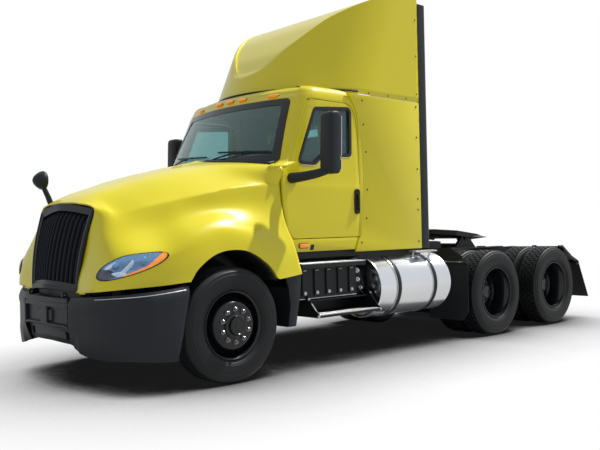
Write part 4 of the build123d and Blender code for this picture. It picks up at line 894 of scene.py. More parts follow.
# Columns of a row: up to the screen's edge, on to the pillar, round it, along the door, to the back
SCREEN_COLUMNS, BORDER_COLUMNS, PILLAR_COLUMNS, NEAR_COLUMNS, FAR_COLUMNS = 16, 4, 8, 12, 3
DOOR_FRONT = [(-.740, 1.330), (-.712, 1.450), (-.694, 1.560), (-.692, 1.915), (-.790, 1.960), (-1.060, 2.580)]
DOOR_REAR = [(-1.540, 2.578), (-1.600, 2.570), (-1.642, 2.545), (-1.675, 2.495), (-1.702, 2.418),
             (-1.722, 2.300), (-1.733, 2.150), (-1.737, 2.000)]
DOOR_EDGE = rounded(DOOR_FRONT + DOOR_REAR + [(-1.737, 1.227), (-.824, 1.227)],
                    [.01, .05, .08, .012, .012, .075] + [.03] * 8 + [.02, .03], 6)
WINDOW_EDGE = rounded([(-.885, 1.940), (-1.120, 1.940), (-1.250, 2.036), (-1.625, 2.036), (-1.640, 2.540),
                       (-1.125, 2.500)], [.060, .06, .10, .055, .060, .060], 8)
REAR_WINDOW = oblong(-.420, .420, 2.050, 2.420, .06)


def front_x(y, z):
    """x of the cab's front surface."""
    share = (min(z, HEADER_Z) - BELT_Z) / (HEADER_Z - BELT_Z)
    belt, header = table(abs(y), BELT_PLAN), table(abs(y), HEADER_PLAN)
    return belt + (header - belt) * share


def corner_x(z):
    """x where the front and the side would meet in a sharp corner."""
    if z < 1.960:
        return min(front_x(CAB_Y, 1.960) + (1.960 - z) * 3.0, -.40)
    return front_x(CAB_Y, z)


def pillar(z, u):
    """A point on the turn from the front (u = 0) to the side (u = 1)."""
    corner = corner_x(z)
    start = front_x(TURN_FROM, z) + corner - front_x(CAB_Y, z)
    x = (1 - u) ** 2 * start + 2 * u * (1 - u) * corner + u * u * (corner - TURN_LONG)
    y = (1 - u) ** 2 * TURN_FROM + (1 - (1 - u) ** 2) * CAB_Y
    return x, y


def side_y(x, z):
    """y of the cab's side or its door at a place."""
    u = 1 if x < corner_x(z) - TURN_LONG else last_true(lambda u: pillar(z, u)[0] > x, 0, 1, 18)
    return pillar(z, u)[1] - table(z, SIDE_LEAN)


def cab_row(z):
    """Half outline of the upper cab at one height: front, pillar and side."""
    low = min(z, HEADER_Z)
    edge = table(low, SCREEN_EDGE)
    row = [(front_x(y, low), y) for y in np.linspace(0, edge, SCREEN_COLUMNS + 1)]
    row += [(front_x(y, low), y) for y in np.linspace(edge, TURN_FROM, BORDER_COLUMNS + 1)[1:]]
    door = table(low, DOOR_FRONT_X) - DOOR_GAP
    last = max(u for u in np.linspace(0, 1, 41) if pillar(low, u)[0] > door)
    for u in np.linspace(0, last, PILLAR_COLUMNS + 1)[1:]:
        x, y = pillar(low, u)
        row.append((x, y - table(low, SIDE_LEAN) * u / last))
    far = door - DOOR_ZONE
    row += [(x, side_y(x, low)) for x in np.linspace(door, far, NEAR_COLUMNS + 1)[1:]]
    row += [(x, side_y(x, low)) for x in np.linspace(far, CAB_BACK, FAR_COLUMNS + 1)[1:]]
    inset = table(z, ROOF_TURN)
    return [(max(x - inset * (1 if y < TURN_FROM else .6), CAB_BACK), y * (1 - inset / CAB_Y), z)
            for x, y in row]


# Upper shell, open where the windscreen and the doors are
FRONT_COLUMNS = SCREEN_COLUMNS + BORDER_COLUMNS + PILLAR_COLUMNS
SCREEN_LOW, SCREEN_HIGH, DOOR_HIGH = 2.000, 2.560, 2.586
levels = [*np.linspace(1.905, SCREEN_LOW, 5), *np.linspace(SCREEN_LOW, SCREEN_HIGH, 22)[1:], DOOR_HIGH, 2.600,
          2.620, 2.640, 2.655, 2.668, 2.680, 2.690, 2.700, 2.709, 2.718, 2.726, 2.735]
cab_rows = [cab_row(z) for z in levels]
shell = Shape()
for low, high in zip(cab_rows, cab_rows[1:]):
    in_screen = SCREEN_LOW - .001 < low[0][2] < SCREEN_HIGH - .001
    in_door = high[0][2] < DOOR_HIGH + .001
    first = SCREEN_COLUMNS if in_screen else 0
    last = FRONT_COLUMNS if in_door else len(low) - 1
    shell.grid([low[first:last + 1], high[first:last + 1]])
shell.grid([[(x, y * u, z) for u in (1, .66, .33, 0)] for x, y, z in cab_rows[-1]])
piece("cab_top", shell.mirror(), YELLOW, replaces="cab_shell", thick=.028, angle=35)

# Sides round the doors: a sill, a post behind each door and the strip over it
pillars = plate([(-.804, CAB_FLOOR), (-.722, 1.330), (-.734, 1.335), (-.8205, 1.221), (-1.743, 1.221),
                 *((x - DOOR_GAP, z + .005) for x, z in reversed(DOOR_REAR)),
                 (-1.080, 2.586), (-1.080, 2.590), (CAB_BACK, 2.590), (CAB_BACK, CAB_FLOOR)],
                [], CAB_Y - CAB_WALL, CAB_Y, edge=.001)
pillars = pillars.sliced(steps_between(-1.8, -.75, .12), steps_between(1.1, 2.6, .08))
pillars.moved(lambda x, y, z: (x, y - (CAB_Y - side_y(min(x, -.72), z)) - (.005 if x < -1.744 else 0), z))
piece("cab_sides", pillars.mirror(), YELLOW, angle=35)

# Back wall with its window, floor, bulkhead and cowl shelf
walls = plate(rounded([(-1.028, CAB_FLOOR), (1.028, CAB_FLOOR), (1.028, 2.62), (.94, 2.735), (-.94, 2.735),
                       (-1.028, 2.62)], [.02, .02, .05, .08, .08, .05]),
              [REAR_WINDOW], CAB_BACK, CAB_BACK + CAB_WALL).moved(lambda x, y, z: (y, x, z))
for low in (-.86, -.43, 0, .43):               # pressed ribs on the back wall
    walls.prism(oblong(low + .06, low + .37, 1.25, 1.90, .04), CAB_BACK - .006, CAB_BACK + .004, axis="x")
walls.box(CAB_BACK + CAB_WALL, -.80, -.965, .965, CAB_FLOOR, CAB_FLOOR + CAB_WALL)
walls.prism([(-.702, 1.392), (-.702, 1.905), (-.765, 1.905), (-.765, 1.395), (-.860, 1.165), (-.800, 1.102)],
            -.955, .955)
walls.box(-.765, -.55, -.90, .90, 1.880, 1.905)
piece("cab_walls", walls, YELLOW, bevel=.003)

# ---- Windscreen and rear window, wipers, cowl ----------------------------------------------------
BORDER_OUT = rounded([(-.952, 1.962), (.952, 1.962), (.848, 2.606), (-.848, 2.606)],
                     [.04, .04, .075, .075], 8)
BORDER_IN = rounded([(-.872, 2.035), (.872, 2.035), (.778, 2.540), (-.778, 2.540)],
                    [.05, .05, .075, .075], 8)
WIPERS = (((.10, .62), (.22, .86)), ((-.72, -.20), (-.60, .06)))     # y of (pivot, tip), (blade's ends)


def screen_sheet(outer, holes, depth, thick):
    """A sheet in the windscreen's curve, its face so far out from the cab's surface."""
    flat = plate(outer, holes, -thick, 0, edge=min(.0015, thick / 3))
    flat = flat.sliced(steps_between(-.95, .95, .075), steps_between(1.95, 2.65, .07))
    return flat.moved(lambda a, y, z: (front_x(a, z) + depth + y, a, z))


piece("screen_border", screen_sheet(BORDER_OUT, [BORDER_IN], .006, .007), EDGE_BLACK, angle=35)
glass = screen_sheet(grown(BORDER_IN, .012), [], .0005, .004)
piece("screen_glass", glass, GLASS, replaces="cab_glass", angle=35)
piece("rear_glass", Shape().box(CAB_BACK + .020, CAB_BACK + .026, -.419, .419, 2.051, 2.419), GLASS)
seal = Shape().tube([(CAB_BACK - .004, y, z) for y, z in REAR_WINDOW], .014, 8, closed=True)
piece("rear_seal", seal, EDGE_BLACK)

wipers = Shape()
for (pivot, tip), blade in WIPERS:
    path = [(pivot + (tip - pivot) * u, 2.005 + .075 * math.sin(math.pi * u / 2))
            for u in np.linspace(0, 1, 9)]
    wipers.tube([(front_x(y, z) + .030, y, z) for y, z in path], .008, 8)
    path = zip(np.linspace(*blade, 12), np.linspace(2.10, 2.062, 12))
    wipers.tube([(front_x(y, z) + .018, y, z) for y, z in path], .009, 6)
    wipers.turned([(.026, -.02), (.026, .03), (.0005, .03)], (front_x(pivot, 2.0) + .02, pivot, 2.0), 1, 16)
piece("wipers", wipers, PLASTIC, angle=35)

cowl = [[(front_x(y, 1.95) + ahead, y, z + .055 * (1 - (y / .93) ** 2)) for y in np.linspace(-.93, .93, 41)]
        for ahead, z in ((.010, 1.962), (.030, 1.955), (.065, 1.950), (.080, 1.930), (.080, 1.890))]
piece("cowl", Shape().grid(cowl), PLASTIC, thick=.006, outward=False)

# ---- Doors ---------------------------------------------------------------------------------------
DOOR_CUTS = (steps_between(-1.74, -.69, .07) + [-1.06, -1.03, -1.0, -.97, -.94, -.91, -.88, -.85, -.82, -.79],
             steps_between(1.22, 2.58, .06) + [CREASE_Z, CREASE_Z + .03])
HANDLE_X, HANDLE_Z = -1.690, 1.585


def side_sheet(outer, holes, low, high, edge=.004, cuts=DOOR_CUTS):
    """A sheet that follows the cab's side, low and high measured out from its surface."""
    return plate(outer, holes, low, high, edge).sliced(*cuts).moved(lambda x, y, z: (x, side_y(x, z) + y, z))


def small_sheet(outer, low, high, edge):
    """The same for a fitting too small to need bending."""
    return side_sheet(outer, [], low, high, edge, ((), ()))


both("door_skin_{}", side_sheet(DOOR_EDGE, [WINDOW_EDGE], -.040, 0, .006), YELLOW,
     "door_{}", "door_{}", angle=35)
both("door_lining_{}", side_sheet(grown(DOOR_EDGE, -.022), [grown(WINDOW_EDGE, .010)], -.064, -.041, .003),
     PLASTIC, "door_{}", angle=35)
both("window_seal_{}", side_sheet(grown(WINDOW_EDGE, .006), [grown(WINDOW_EDGE, -.030)], -.030, .0035, .0025),
     EDGE_BLACK, "door_{}", angle=35)
both("window_glass_{}", side_sheet(grown(WINDOW_EDGE, -.018), [], -.026, -.020, .001), GLASS, "door_{}",
     "door_glass_{}", angle=35)
# painted highlight along the foot of the window: a thin bright steel line where the seal's edge catches the
# light
path = [p for p in even(WINDOW_EDGE + WINDOW_EDGE[:1], 220) if p[1] < 2.052 and p[0] > -1.63]
path.sort(key=lambda p: -p[0])
both("window_painted_highlight_{}", Shape().tube([(x, side_y(x, z - .01) + .001, z - .0065) for x, z in path], .0026, 6),
     STEEL, "door_{}")
# grab handle: a dark dished oval with a rim and a bar
oval = oblong(HANDLE_X - .036, HANDLE_X + .036, HANDLE_Z - .125, HANDLE_Z + .125, .036, 6)
both("handle_cup_{}", small_sheet(oval, -.006, .006, .003), CHASSIS, "door_{}", "door_fittings_{}")
handle = Shape().tube([(x, side_y(x, z) + .006, z) for x, z in oval], .0045, 6, closed=True)
handle.tube([(HANDLE_X - .010, side_y(HANDLE_X, HANDLE_Z) + out, HANDLE_Z + rise) for out, rise in
             ((.004, .085), (.016, .070), (.020, .03), (.020, -.03), (.016, -.070), (.004, -.085))], .010, 8)
both("handle_bar_{}", handle, PLASTIC, "door_{}")

# Dark linings seen through the windows
lining = Shape()
lining.prism([(-1.730, -.93), (-1.02, -.80), (-1.00, 0), (-1.02, .80), (-1.730, .93)], 2.628, 2.640, axis="z")
for y0, y1, z0, z1 in ((-.93, -.43, 1.17, 2.63), (.43, .93, 1.17, 2.63), (-.43, .43, 1.17, 2.04),
                       (-.43, .43, 2.43, 2.63)):
    lining.box(-1.733, -1.726, y0, y1, z0, z1)
lining.box(-1.73, -.80, -.955, .955, 1.166, 1.172)
piece("cab_lining", lining, SEAT)

# ---- Door mirrors, hood mirror and splash panels -------------------------------------------------
MIRROR_Y = 1.318
ARM_RADIUS = [(0, .046), (.15, .052), (.4, .045), (.7, .040), (1, .038)]     # by share of its length


def power_ring(half_a, half_b, power_a, power_b, count):
    """Two offsets round a rounded rectangle (superellipse)."""
    return [(half_a * math.copysign(abs(math.cos(turn)) ** power_a, math.cos(turn)),
             half_b * math.copysign(abs(math.sin(turn)) ** power_b, math.sin(turn))) for turn in turns(count)]


def mirror_head(low, high, half_x, half_y, power=3.4, sides=32):
    """A rounded box between two points, its ends drawn in."""
    rows = []
    for share in (0, .012, .035, .07, .12, .5, .88, .93, .965, .988, 1):
        swell = table(min(share, 1 - share), [(0, .55), (.012, .78), (.035, .92), (.07, .985), (.12, 1)])
        x, y, z = np.array(low) + (np.array(high) - low) * share
        rows.append([(x + a, y + b, z) for a, b in
                     power_ring(half_x * swell, half_y * (.72 + .28 * swell), 2 / power, 2 / power, sides)])
    shape = Shape().grid(rows, close_cols=True)
    shape.faces += [tuple(range(len(shape.verts) - sides, len(shape.verts))), tuple(range(sides - 1, -1, -1))]
    return shape


head = mirror_head((-1.035, MIRROR_Y, 1.830), (-1.057, MIRROR_Y, 2.410), .080, .085)
both("mirror_head_{}", head, PLASTIC, "door_{}", angle=50)
path = spline([(-.800, 1.012, 1.800), (-.806, 1.055, 1.803), (-.850, 1.150, 1.812), (-.920, 1.245, 1.832),
               (-.985, 1.300, 1.858), (-1.030, 1.320, 1.890)], 25)
arm = Shape().tube(path, [table(share, ARM_RADIUS) for share in np.linspace(0, 1, 25)], 16)
both("mirror_arm_{}", arm, PLASTIC, "door_{}", angle=50)
foot = rounded([(-.885, 1.772), (-.760, 1.758), (-.760, 1.850), (-.885, 1.838)], .03)
both("mirror_foot_{}", small_sheet(foot, -.002, .020, .006), PLASTIC, "door_{}")
glass = Shape()
for low, high in ((1.99, 2.375), (1.865, 1.965)):
    glass.prism(oblong(MIRROR_Y - .068, MIRROR_Y + .068, low, high, .02), 0, .006, axis="x")
glass.moved(lambda x, y, z: (x - 1.117 - (z - 1.83) * .038, y, z))
both("mirror_glass_{}", glass, CHROME, "door_{}")

# Round mirror on the hood's right side
ROUND_X, ROUND_Y, ROUND_Z = .740, -.960, 1.860


def round_part(profile):
    """(distance ahead, radius) points turned about the round mirror's lengthways line."""
    return Shape().grid([[(ROUND_X + ahead, ROUND_Y + r * math.cos(turn), ROUND_Z + r * math.sin(turn))
                          for ahead, r in profile] for turn in turns(32)], close_rows=True)


head = round_part([(-.008, 0), (-.008, .080), (.002, .092), (.014, .095), (.040, .088), (.070, .070),
                   (.098, .045), (.112, .022), (.118, .0003)])
piece("hood_mirror_head", head, PLASTIC, "hood", "hood_fittings", angle=50)
path = spline([(.625, -.948, 1.445), (.655, -.952, 1.560), (.700, -.958, 1.690), (.745, -.960, 1.790),
               (.760, -.960, 1.850)], 21)
stalk = Shape().tube(path, list(np.linspace(.034, .022, 21)), 14)
piece("hood_mirror_stalk", stalk, PLASTIC, "hood", angle=50)
face = round_part([(-.009 - .004 * math.cos(r / .085 * math.pi / 2), r) for r in (.0003, .03, .06, .085)])
piece("hood_mirror_glass", face, CHROME, "hood", outward=False)

# Splash panels behind the front wheels
splash = plate(rounded([(-.600, .918), (-.815, .918), (-.790, .700), (-.735, .420), (-.640, .420),
                        (-.668, .620), (-.650, .780)], .02), [], 1.118, 1.130)
curve = spline([(-.650, .780), (-.666, .700), (-.668, .620), (-.656, .500), (-.640, .420)], 17)
splash.grid([[(x - back, y, z) for x, z in curve] for y, back in
             ((.62, 0), (1.12, 0), (1.12, .008), (.62, .008))], close_rows=True)
for y in (.75, .87, .99):
    splash.tube([(x - .010, y, z) for x, z in curve], .008, 6)
both("splash_panel_{}", splash, PLASTIC, "hood")

# ---- Side panels, their trims, screws and lamps --------------------------------------------------
PANEL_FRONT = [(-1.575, 2.687), (-1.635, 2.637), (-1.691, 2.550), (-1.718, 2.471), (-1.744, 2.340),
               (-1.770, 2.218), (-1.785, 2.013), (-1.795, 1.859), (-1.787, 1.704), (-1.770, 1.550),
               (-1.752, 1.400), (-1.747, 1.230), (-1.712, 1.205), (-1.667, 1.101), (-1.662, 1.075)]
PANEL_REAR, TRIM_REAR = -2.720, -2.860
SCREWS = [(-1.798, 2.628), (-1.808, 2.380), (-1.839, 2.098), (-1.846, 1.710), (-1.827, 1.413),
          (-1.749, 1.166), *((-2.665, z) for z in (2.640, 2.30, 1.950, 1.62, 1.500, 1.150))]
SEAM_SCREWS = [(-1.90, 2.712), (-2.20, 2.712), (-2.50, 2.712), (-2.68, 2.779), (-2.68, 3.20), (-2.68, 3.60)]
STAY_Y = .860


def screw(shape, x, y, z, radius=.010):
    """A dark domed head on the side."""
    head = [(radius, 0), (radius, .0015), (radius * .8, .0045), (.0003, .006)]
    shape.turned(head, (x, y, z), 1, 12, closed=False)


panel = plate(PANEL_FRONT + [(PANEL_REAR, 1.075), (PANEL_REAR, 2.687)], [], CAB_Y - .022, CAB_Y, .003)
for x in (-1.88, -2.30, -2.69):                # inner frame
    panel.box(x - .018, x + .018, CAB_Y - .040, CAB_Y - .021, 1.10, 2.66)
both("side_panel_{}", panel, YELLOW, replaces="side_extenders")
stays = Shape()
for z in (1.400, 2.400):
    stays.rod((-1.800, STAY_Y, z), (-2.450, STAY_Y, z), .014)
    stays.rod((-2.450, STAY_Y, z), (-2.450, CAB_Y - .022, z), .013, 10)
    stays.prism(oblong(STAY_Y - .05, STAY_Y + .05, z - .05, z + .05, .012), -1.808, -1.800, axis="x")
both("panel_stays_{}", stays, CHASSIS)
screws = Shape()
for x, z in SCREWS:
    screw(screws, x, CAB_Y, z)
for x, z in SEAM_SCREWS:
    screw(screws, x, CAB_Y + .0005, z, .008)
both("panel_screws_{}", screws, CHASSIS)
# black strip: a flat web, a soft rear fin and its clamping rail
web = rounded([(PANEL_REAR + .002, CAB_Y - .024), (PANEL_REAR + .002, CAB_Y - .001),
               (PANEL_REAR - .060, CAB_Y), (PANEL_REAR - .110, CAB_Y - .002), (TRIM_REAR, CAB_Y - .010),
               (TRIM_REAR, CAB_Y - .018), (PANEL_REAR - .060, CAB_Y - .020)], .004, 3)
trim = Shape().prism(web, 1.075, 3.790, axis="z")
trim.box(PANEL_REAR - .026, PANEL_REAR - .006, CAB_Y - .002, CAB_Y + .003, 1.09, 3.78)
both("panel_trim_{}", trim, PLASTIC, replaces="extender_trims", angle=30)
bolts = Shape()
for k in range(14):
    screw(bolts, PANEL_REAR - .016, CAB_Y + .003, 1.15 + k * .197, .007)
both("trim_bolts_{}", bolts, CHASSIS)

# Screws of the fairing's access bracket, in front of the side panel's top corner
screws = Shape()
for ahead, z in ((-1.30, 2.724), (-1.52, 2.716)):
    x, y, z = next(p for p in (wall_point(run, z) for run in np.linspace(0, .5, 200)) if p[0] < ahead)
    screws.turned([(.009, 0), (.009, .002), (.006, .005), (.0003, .006)], (x, y, z), 1, 12, closed=False)
piece("fairing_screws", screws.mirror(), CHASSIS)

# Five markers over the windscreen
markers, bases = Shape(), Shape()
for y, z in ((-.620, 2.648), (-.200, 2.662), (0, 2.664), (.200, 2.662), (.620, 2.648)):
    x = front_x(y, z) - table(z, ROOF_TURN)
    slope = (front_x(y + .02, z) - front_x(y - .02, z)) / .04
    for shape, wide, tall, deep in ((bases, .064, .018, .008), (markers, .058, .0165, .030)):
        shape.grid([[(x + slope * a + deep * share - b * .45, y + a, z + b)
                     for a, b in power_ring(wide * swell, tall * swell, .7, .8, 24)] for share, swell in
                    ((-.4, 1.0), (.2, 1.0), (.6, .93), (.85, .75), (1.0, .40), (1.04, .02))], close_cols=True)
piece("header_marker_bases", bases, EDGE_BLACK, angle=50)
piece("header_markers", markers, AMBER, replaces="lamps", angle=50)

# Markers and a small black vent below the doors, tail lamps on the rails
both("side_marker_{}", small_sheet(oblong(-1.008, -.892, 1.138, 1.178, .018), -.002, .020, .006), AMBER)
both("side_marker_rim_{}", small_sheet(oblong(-1.014, -.886, 1.133, 1.183, .020), -.002, .008, .003),
     EDGE_BLACK)
vent = rounded([(-1.075, 1.112), (-1.035, 1.112), (-1.050, 1.165), (-1.090, 1.165)], .005)
both("side_vent_{}", small_sheet(vent, -.002, .007, .002), PLASTIC)
for label, y0, y1, mat in (("inner", .352, .384, AMBER), ("outer", .388, .428, TAIL_RED)):
    both(f"tail_{label}_{{}}", Shape().prism(oblong(y0, y1, .884, .956, .008), -5.618, -5.604, axis="x"), mat,
         bevel=.003)
both("tail_base_{}", Shape().box(-5.606, -5.560, .348, .432, .878, .962), CHASSIS, bevel=.003)

# ---- Wheels and tyres ----------------------------------------------------------------------------
TREAD_HALF = .098
# Tyre's outer section: (radius, distance out from its middle), up to the tread's shoulder
SIDEWALL = [(.290, .104), (.300, .112), (.318, .120), (.330, .128), (.352, .136), (.376, .1395),
            (.400, .140), (.424, .1385), (.446, .1350), (.462, .1300), (.476, .1235), (.488, .1160),
            (.4965, .1070), (TYRE_R - .004, TREAD_HALF + .002)]
BEAD_RINGS = ((.308, .0060), (.346, .0022), (.352, .0022), (.432, .0026), (.462, .0034))   # (radius, height)
BEAD_WIDE = .0035
RIB_GROOVES = (.066, .033, 0.0, -.033, -.066)  # round a steered tyre
GROOVE_WIDE, GROOVE_DEEP = .0065, .013
LUG_DEEP, LUG_COUNT, LUG_SHARE = .014, 44, .80
LUG_LANES = [(-.096, -.062, 0), (-.056, -.022, .5), (-.017, .017, 0), (.022, .056, .5), (.062, .096, 0)]
RIM_SECTION = spline([(.290, .104), (.2995, .112), (.2985, .1200), (.2940, .1225), (.2890, .1190),
                      (.2780, .1080), (.2740, .0900), (.2700, .0700), (.2640, .0560), (.2560, .0460),
                      (.2540, .0400)], 33)
# Disc from the rim's well to its flat face: (radius, distance behind the face), after the well's edge
DISC_BOWL = [(.2460, .0860), (.2300, .0560), (.2120, .0220), (.1960, .0060), (.1800, 0), (.1650, 0)]
DISC_EYE, DISC_THICK = .1100, .010             # radius of the hole in its middle
RIM_BEHIND = [(.2500, .0300), (.2500, -.0300), (.2760, -.0700), (.2890, -.1190), (.2985, -.1200),
              (.2995, -.1120), (.2900, -.1040)]
STEER_FACE = .140                              # disc's face, out from the tyre's middle
STUDS, STUD_CIRCLE = 10, .1429
# Hub cap, brake drum with its hub, and driven hub with its drum: (radius, distance out)
HUB_CAP = [(.112, .139), (.112, .148), (.106, .153), (.092, .155), (.086, .160), (.084, .186), (.080, .192),
           (.070, .195), (.066, .191), (.040, .191), (.036, .197), (.0005, .199)]
STEER_DRUM = [(.036, -.044), (.110, -.044), (.110, .070), (.205, .080), (.205, -.044), (.218, -.044),
              (.218, .092), (.150, .092), (.150, .126), (.036, .126)]
DRIVE_HUB = [(.062, -.24), (.112, -.24), (.112, -.07), (.205, -.06), (.205, -.24), (.218, -.24), (.218, -.04),
             (.150, -.04), (.150, .010), (.112, .012), (.112, .058), (.104, .070), (.100, .076), (.100, .124),
             (.094, .132), (.078, .136), (.070, .146), (.0005, .150), (.0005, .10), (.062, .10)]


def tyre_side(points):
    """A tyre's side with its raised rings."""
    wall = spline(points, 68)
    for radius, height in BEAD_RINGS:
        wall[:, 1] += np.exp(-((wall[:, 0] - radius) / BEAD_WIDE) ** 2) * height
    return [tuple(p) for p in wall]


def tyre_section(outer, tread=()):
    """A whole section from its outer half and what lies between the halves."""
    return [*outer, *tread, *((r, -out) for r, out in reversed(outer))]


def lug_blocks(shape, centre):
    """Staggered tread blocks round a driven tyre."""
    x, y, z = centre
    for low, high, phase in LUG_LANES:
        for k in range(LUG_COUNT):
            start = 2 * math.pi * (k + phase) / LUG_COUNT
            end = start + 2 * math.pi / LUG_COUNT * LUG_SHARE
            skew = .010 if abs(low + high) > .02 else .0
            verts = [(x + r * math.sin(turn + lag / TYRE_R), y + out, z + r * math.cos(turn + lag / TYRE_R))
                     for out, lag in ((low, 0), (high, skew)) for turn in (start, end)
                     for r in (TYRE_R - LUG_DEEP, TYRE_R)]
            shape.add(verts, [(1, 3, 7, 5), (0, 1, 5, 4), (3, 2, 6, 7), (0, 2, 3, 1), (4, 5, 7, 6)])


def rim_and_disc(shape, centre, side, face):
    """The rim and its dished disc, seen from outboard, closed behind."""
    bowl = spline([RIM_SECTION[-1], *((r, face - back) for r, back in DISC_BOWL)], 25)
    disc = [*bowl[1:], (DISC_EYE, face)]
    back = [(r - .008, out - DISC_THICK) for r, out in reversed(disc)]
    shape.turned([*RIM_SECTION, *disc, *back, *RIM_BEHIND], centre, side, 96)
    return shape


def nut_ring(middle, out, radius=.0165, height=.034, count=STUDS, circle=STUD_CIRCLE, phase=.5):
    """Hexagon flange nuts on their studs in a ring, pointing outboard."""
    shape = Shape()
    for k in range(count):
        place = 2 * math.pi * (k + phase) / count
        x, z = middle[0] + circle * math.cos(place), middle[2] + circle * math.sin(place)
        rows = []
        for r, rise, six in ((radius * 1.35, 0, 0), (radius * 1.30, .005, 0), (radius, .006, 1),
                             (radius, height * .62, 1), (radius * .82, height * .70, 1),
                             (radius * .45, height * .70, 0), (radius * .45, height, 0),
                             (.0005, height * 1.02, 0)):
            reach = [r, r * .93 if six else r] * 6
            rows.append([(x + far * math.cos(turn), middle[1] + out + rise, z + far * math.sin(turn))
                         for far, turn in zip(reach, turns(12))])
        shape.grid(rows, close_cols=True)
    return shape


centre = (0, abs(STEER_Y), TYRE_R)
tread = []
for place in RIB_GROOVES:
    tread += [(TYRE_R, place + GROOVE_WIDE), (TYRE_R - GROOVE_DEEP, place + GROOVE_WIDE * .6),
              (TYRE_R - GROOVE_DEEP, place - GROOVE_WIDE * .6), (TYRE_R, place - GROOVE_WIDE)]
section = tyre_section(tyre_side(SIDEWALL) + [(TYRE_R - .001, TREAD_HALF - .003)], tread)
both("steer_tread_{}", Shape().turned(section, centre, 1, 96), RUBBER, "steer_wheel_{}",
     "steer_tyre_{}", angle=35)
both("steer_rim_{}", rim_and_disc(Shape(), centre, 1, STEER_FACE), WHEEL_BLACK, "steer_wheel_{}",
     "steer_wheel_{}", angle=35)
hub = Shape().turned(HUB_CAP, centre, 1, 48, closed=False).turned(STEER_DRUM, centre, 1, 64)
both("steer_hub_{}", hub, WHEEL_BLACK, "steer_wheel_{}", angle=35)
both("steer_nuts_{}", nut_ring(centre, .1395), NUT, "steer_wheel_{}", angle=30)

section = tyre_section(tyre_side(SIDEWALL[:-1]) + [(TYRE_R - LUG_DEEP, TREAD_HALF)])
for axle_name, axle_x in DRIVE_X.items():
    body = f"drive_wheels_{axle_name}_{{}}"
    middle = (axle_x, abs(HUB_Y), TYRE_R)
    treads, rims = Shape(), Shape()
    for shift, facing in ((-DUAL, 1), (DUAL, -1)):
        centre = (axle_x, abs(HUB_Y) + shift, TYRE_R)
        treads.turned(section, centre, 1, 96)
        lug_blocks(treads, centre)
        rim_and_disc(rims, centre, facing, DUAL)
    both(f"drive_treads_{axle_name}_{{}}", treads, RUBBER, body, f"drive_tyres_{axle_name}_{{}}", angle=30)
    both(f"drive_rims_{axle_name}_{{}}", rims, WHEEL_BLACK, body, body, angle=35)
    both(f"drive_hub_{axle_name}_{{}}", Shape().turned(DRIVE_HUB, middle, 1, 48), WHEEL_BLACK, body, angle=35)
    both(f"drive_nuts_{axle_name}_{{}}", nut_ring(middle, .0005), WHEEL_BLACK, body, angle=30)
    bolts = nut_ring(middle, .134, radius=.009, height=.014, count=8, circle=.086, phase=0)
    both(f"axle_bolts_{axle_name}_{{}}", bolts, WHEEL_BLACK, body, angle=30)

# ---- Fuel tanks, straps, battery box and steps ---------------------------------------------------
TANK_R, TANK_Y, TANK_Z = .325, .830, .690
TANK_FRONT, TANK_REAR = -1.891, -3.069
# Half of a tank's profile: (distance behind its front, radius)
TANK_END = [(.004, .0003), (.006, .16), (.012, .26), (.020, .295), (.012, .306), (.002, .312), (.002, .322),
            (.008, TANK_R), (.022, TANK_R), (.026, TANK_R - .0015)]
STRAPS, STRAP_HALF = (-2.180, -2.780), .030
STRAP_SECTION = [(-.030, -.0005), (-.030, .004), (-.026, .006), (.026, .006), (.030, .004), (.030, -.0005)]
STRAP_FOOT = [(.430, .430), (.640, .400), (.700, .392), (.640, .445), (.545, .540), (.510, .690),
              (.545, .840), (.640, .935), (.640, .965), (.430, .965)]     # bracket to the frame, (y, z)
CAP_X, CAP_Y = -2.700, TANK_Y + .060
BOX_FRONT, RIB_STEP = -1.680, .160
# Steps: their two ends, outer edge and top. Teeth stand in rows, so far in from the edge.
STEPS = ((-1.700, -.830, 1.120, .990), (-1.860, -.985, 1.170, .500))
TOOTH, TOOTH_ROWS, TEETH = .012, (.020, .098), 36
TREAD_STRIPS = (.045, .070)

profile = [(TANK_FRONT - back, r) for back, r in TANK_END]
profile += [(TANK_REAR + back, r) for back, r in reversed(TANK_END)]
both("tank_{}", Shape().barrel(profile, TANK_Y, TANK_Z, 96), TANK, replaces="fuel_tanks", angle=30)

# filler neck and cap, drain plug, fuel pick-up, and the bright step plate over the tank
fittings = Shape()
fittings.upright([(r, TANK_Z + rise) for r, rise in
                  ((.0003, .352), (.030, .352), (.044, .347), (.045, .330), (.040, .326), (.040, .300))],
                 CAP_X, CAP_Y, 36)
for turn in turns(12):
    x, y = CAP_X + .044 * math.cos(turn), CAP_Y + .044 * math.sin(turn)
    fittings.rod((x, y, TANK_Z + .330), (x, y, TANK_Z + .348), .004, 6)
fittings.rod((-2.30, TANK_Y, TANK_Z + .318), (-2.30, TANK_Y, TANK_Z + .345), .028, 12)
fittings.rod((-2.48, TANK_Y, TANK_Z - .318), (-2.48, TANK_Y, TANK_Z - .338), .016, 6)
fittings.box(-2.930, -2.560, .960, 1.075, 1.032, 1.046)
for x in (-2.60, -2.89):
    fittings.tube([(x, 1.0, 1.034), (x, .99, .985), (x, .93, .965)], .010, 8)
both("tank_fittings_{}", fittings, STEEL, bevel=.0015)
grips = Shape()
for k in range(13):
    for y in (.980, 1.018, 1.056):
        x = -2.915 + k * .0285
        grips.rod((x - .006, y, 1.046), (x + .006, y, 1.049), .005, 8)
both("step_plate_grips_{}", grips, STEEL)

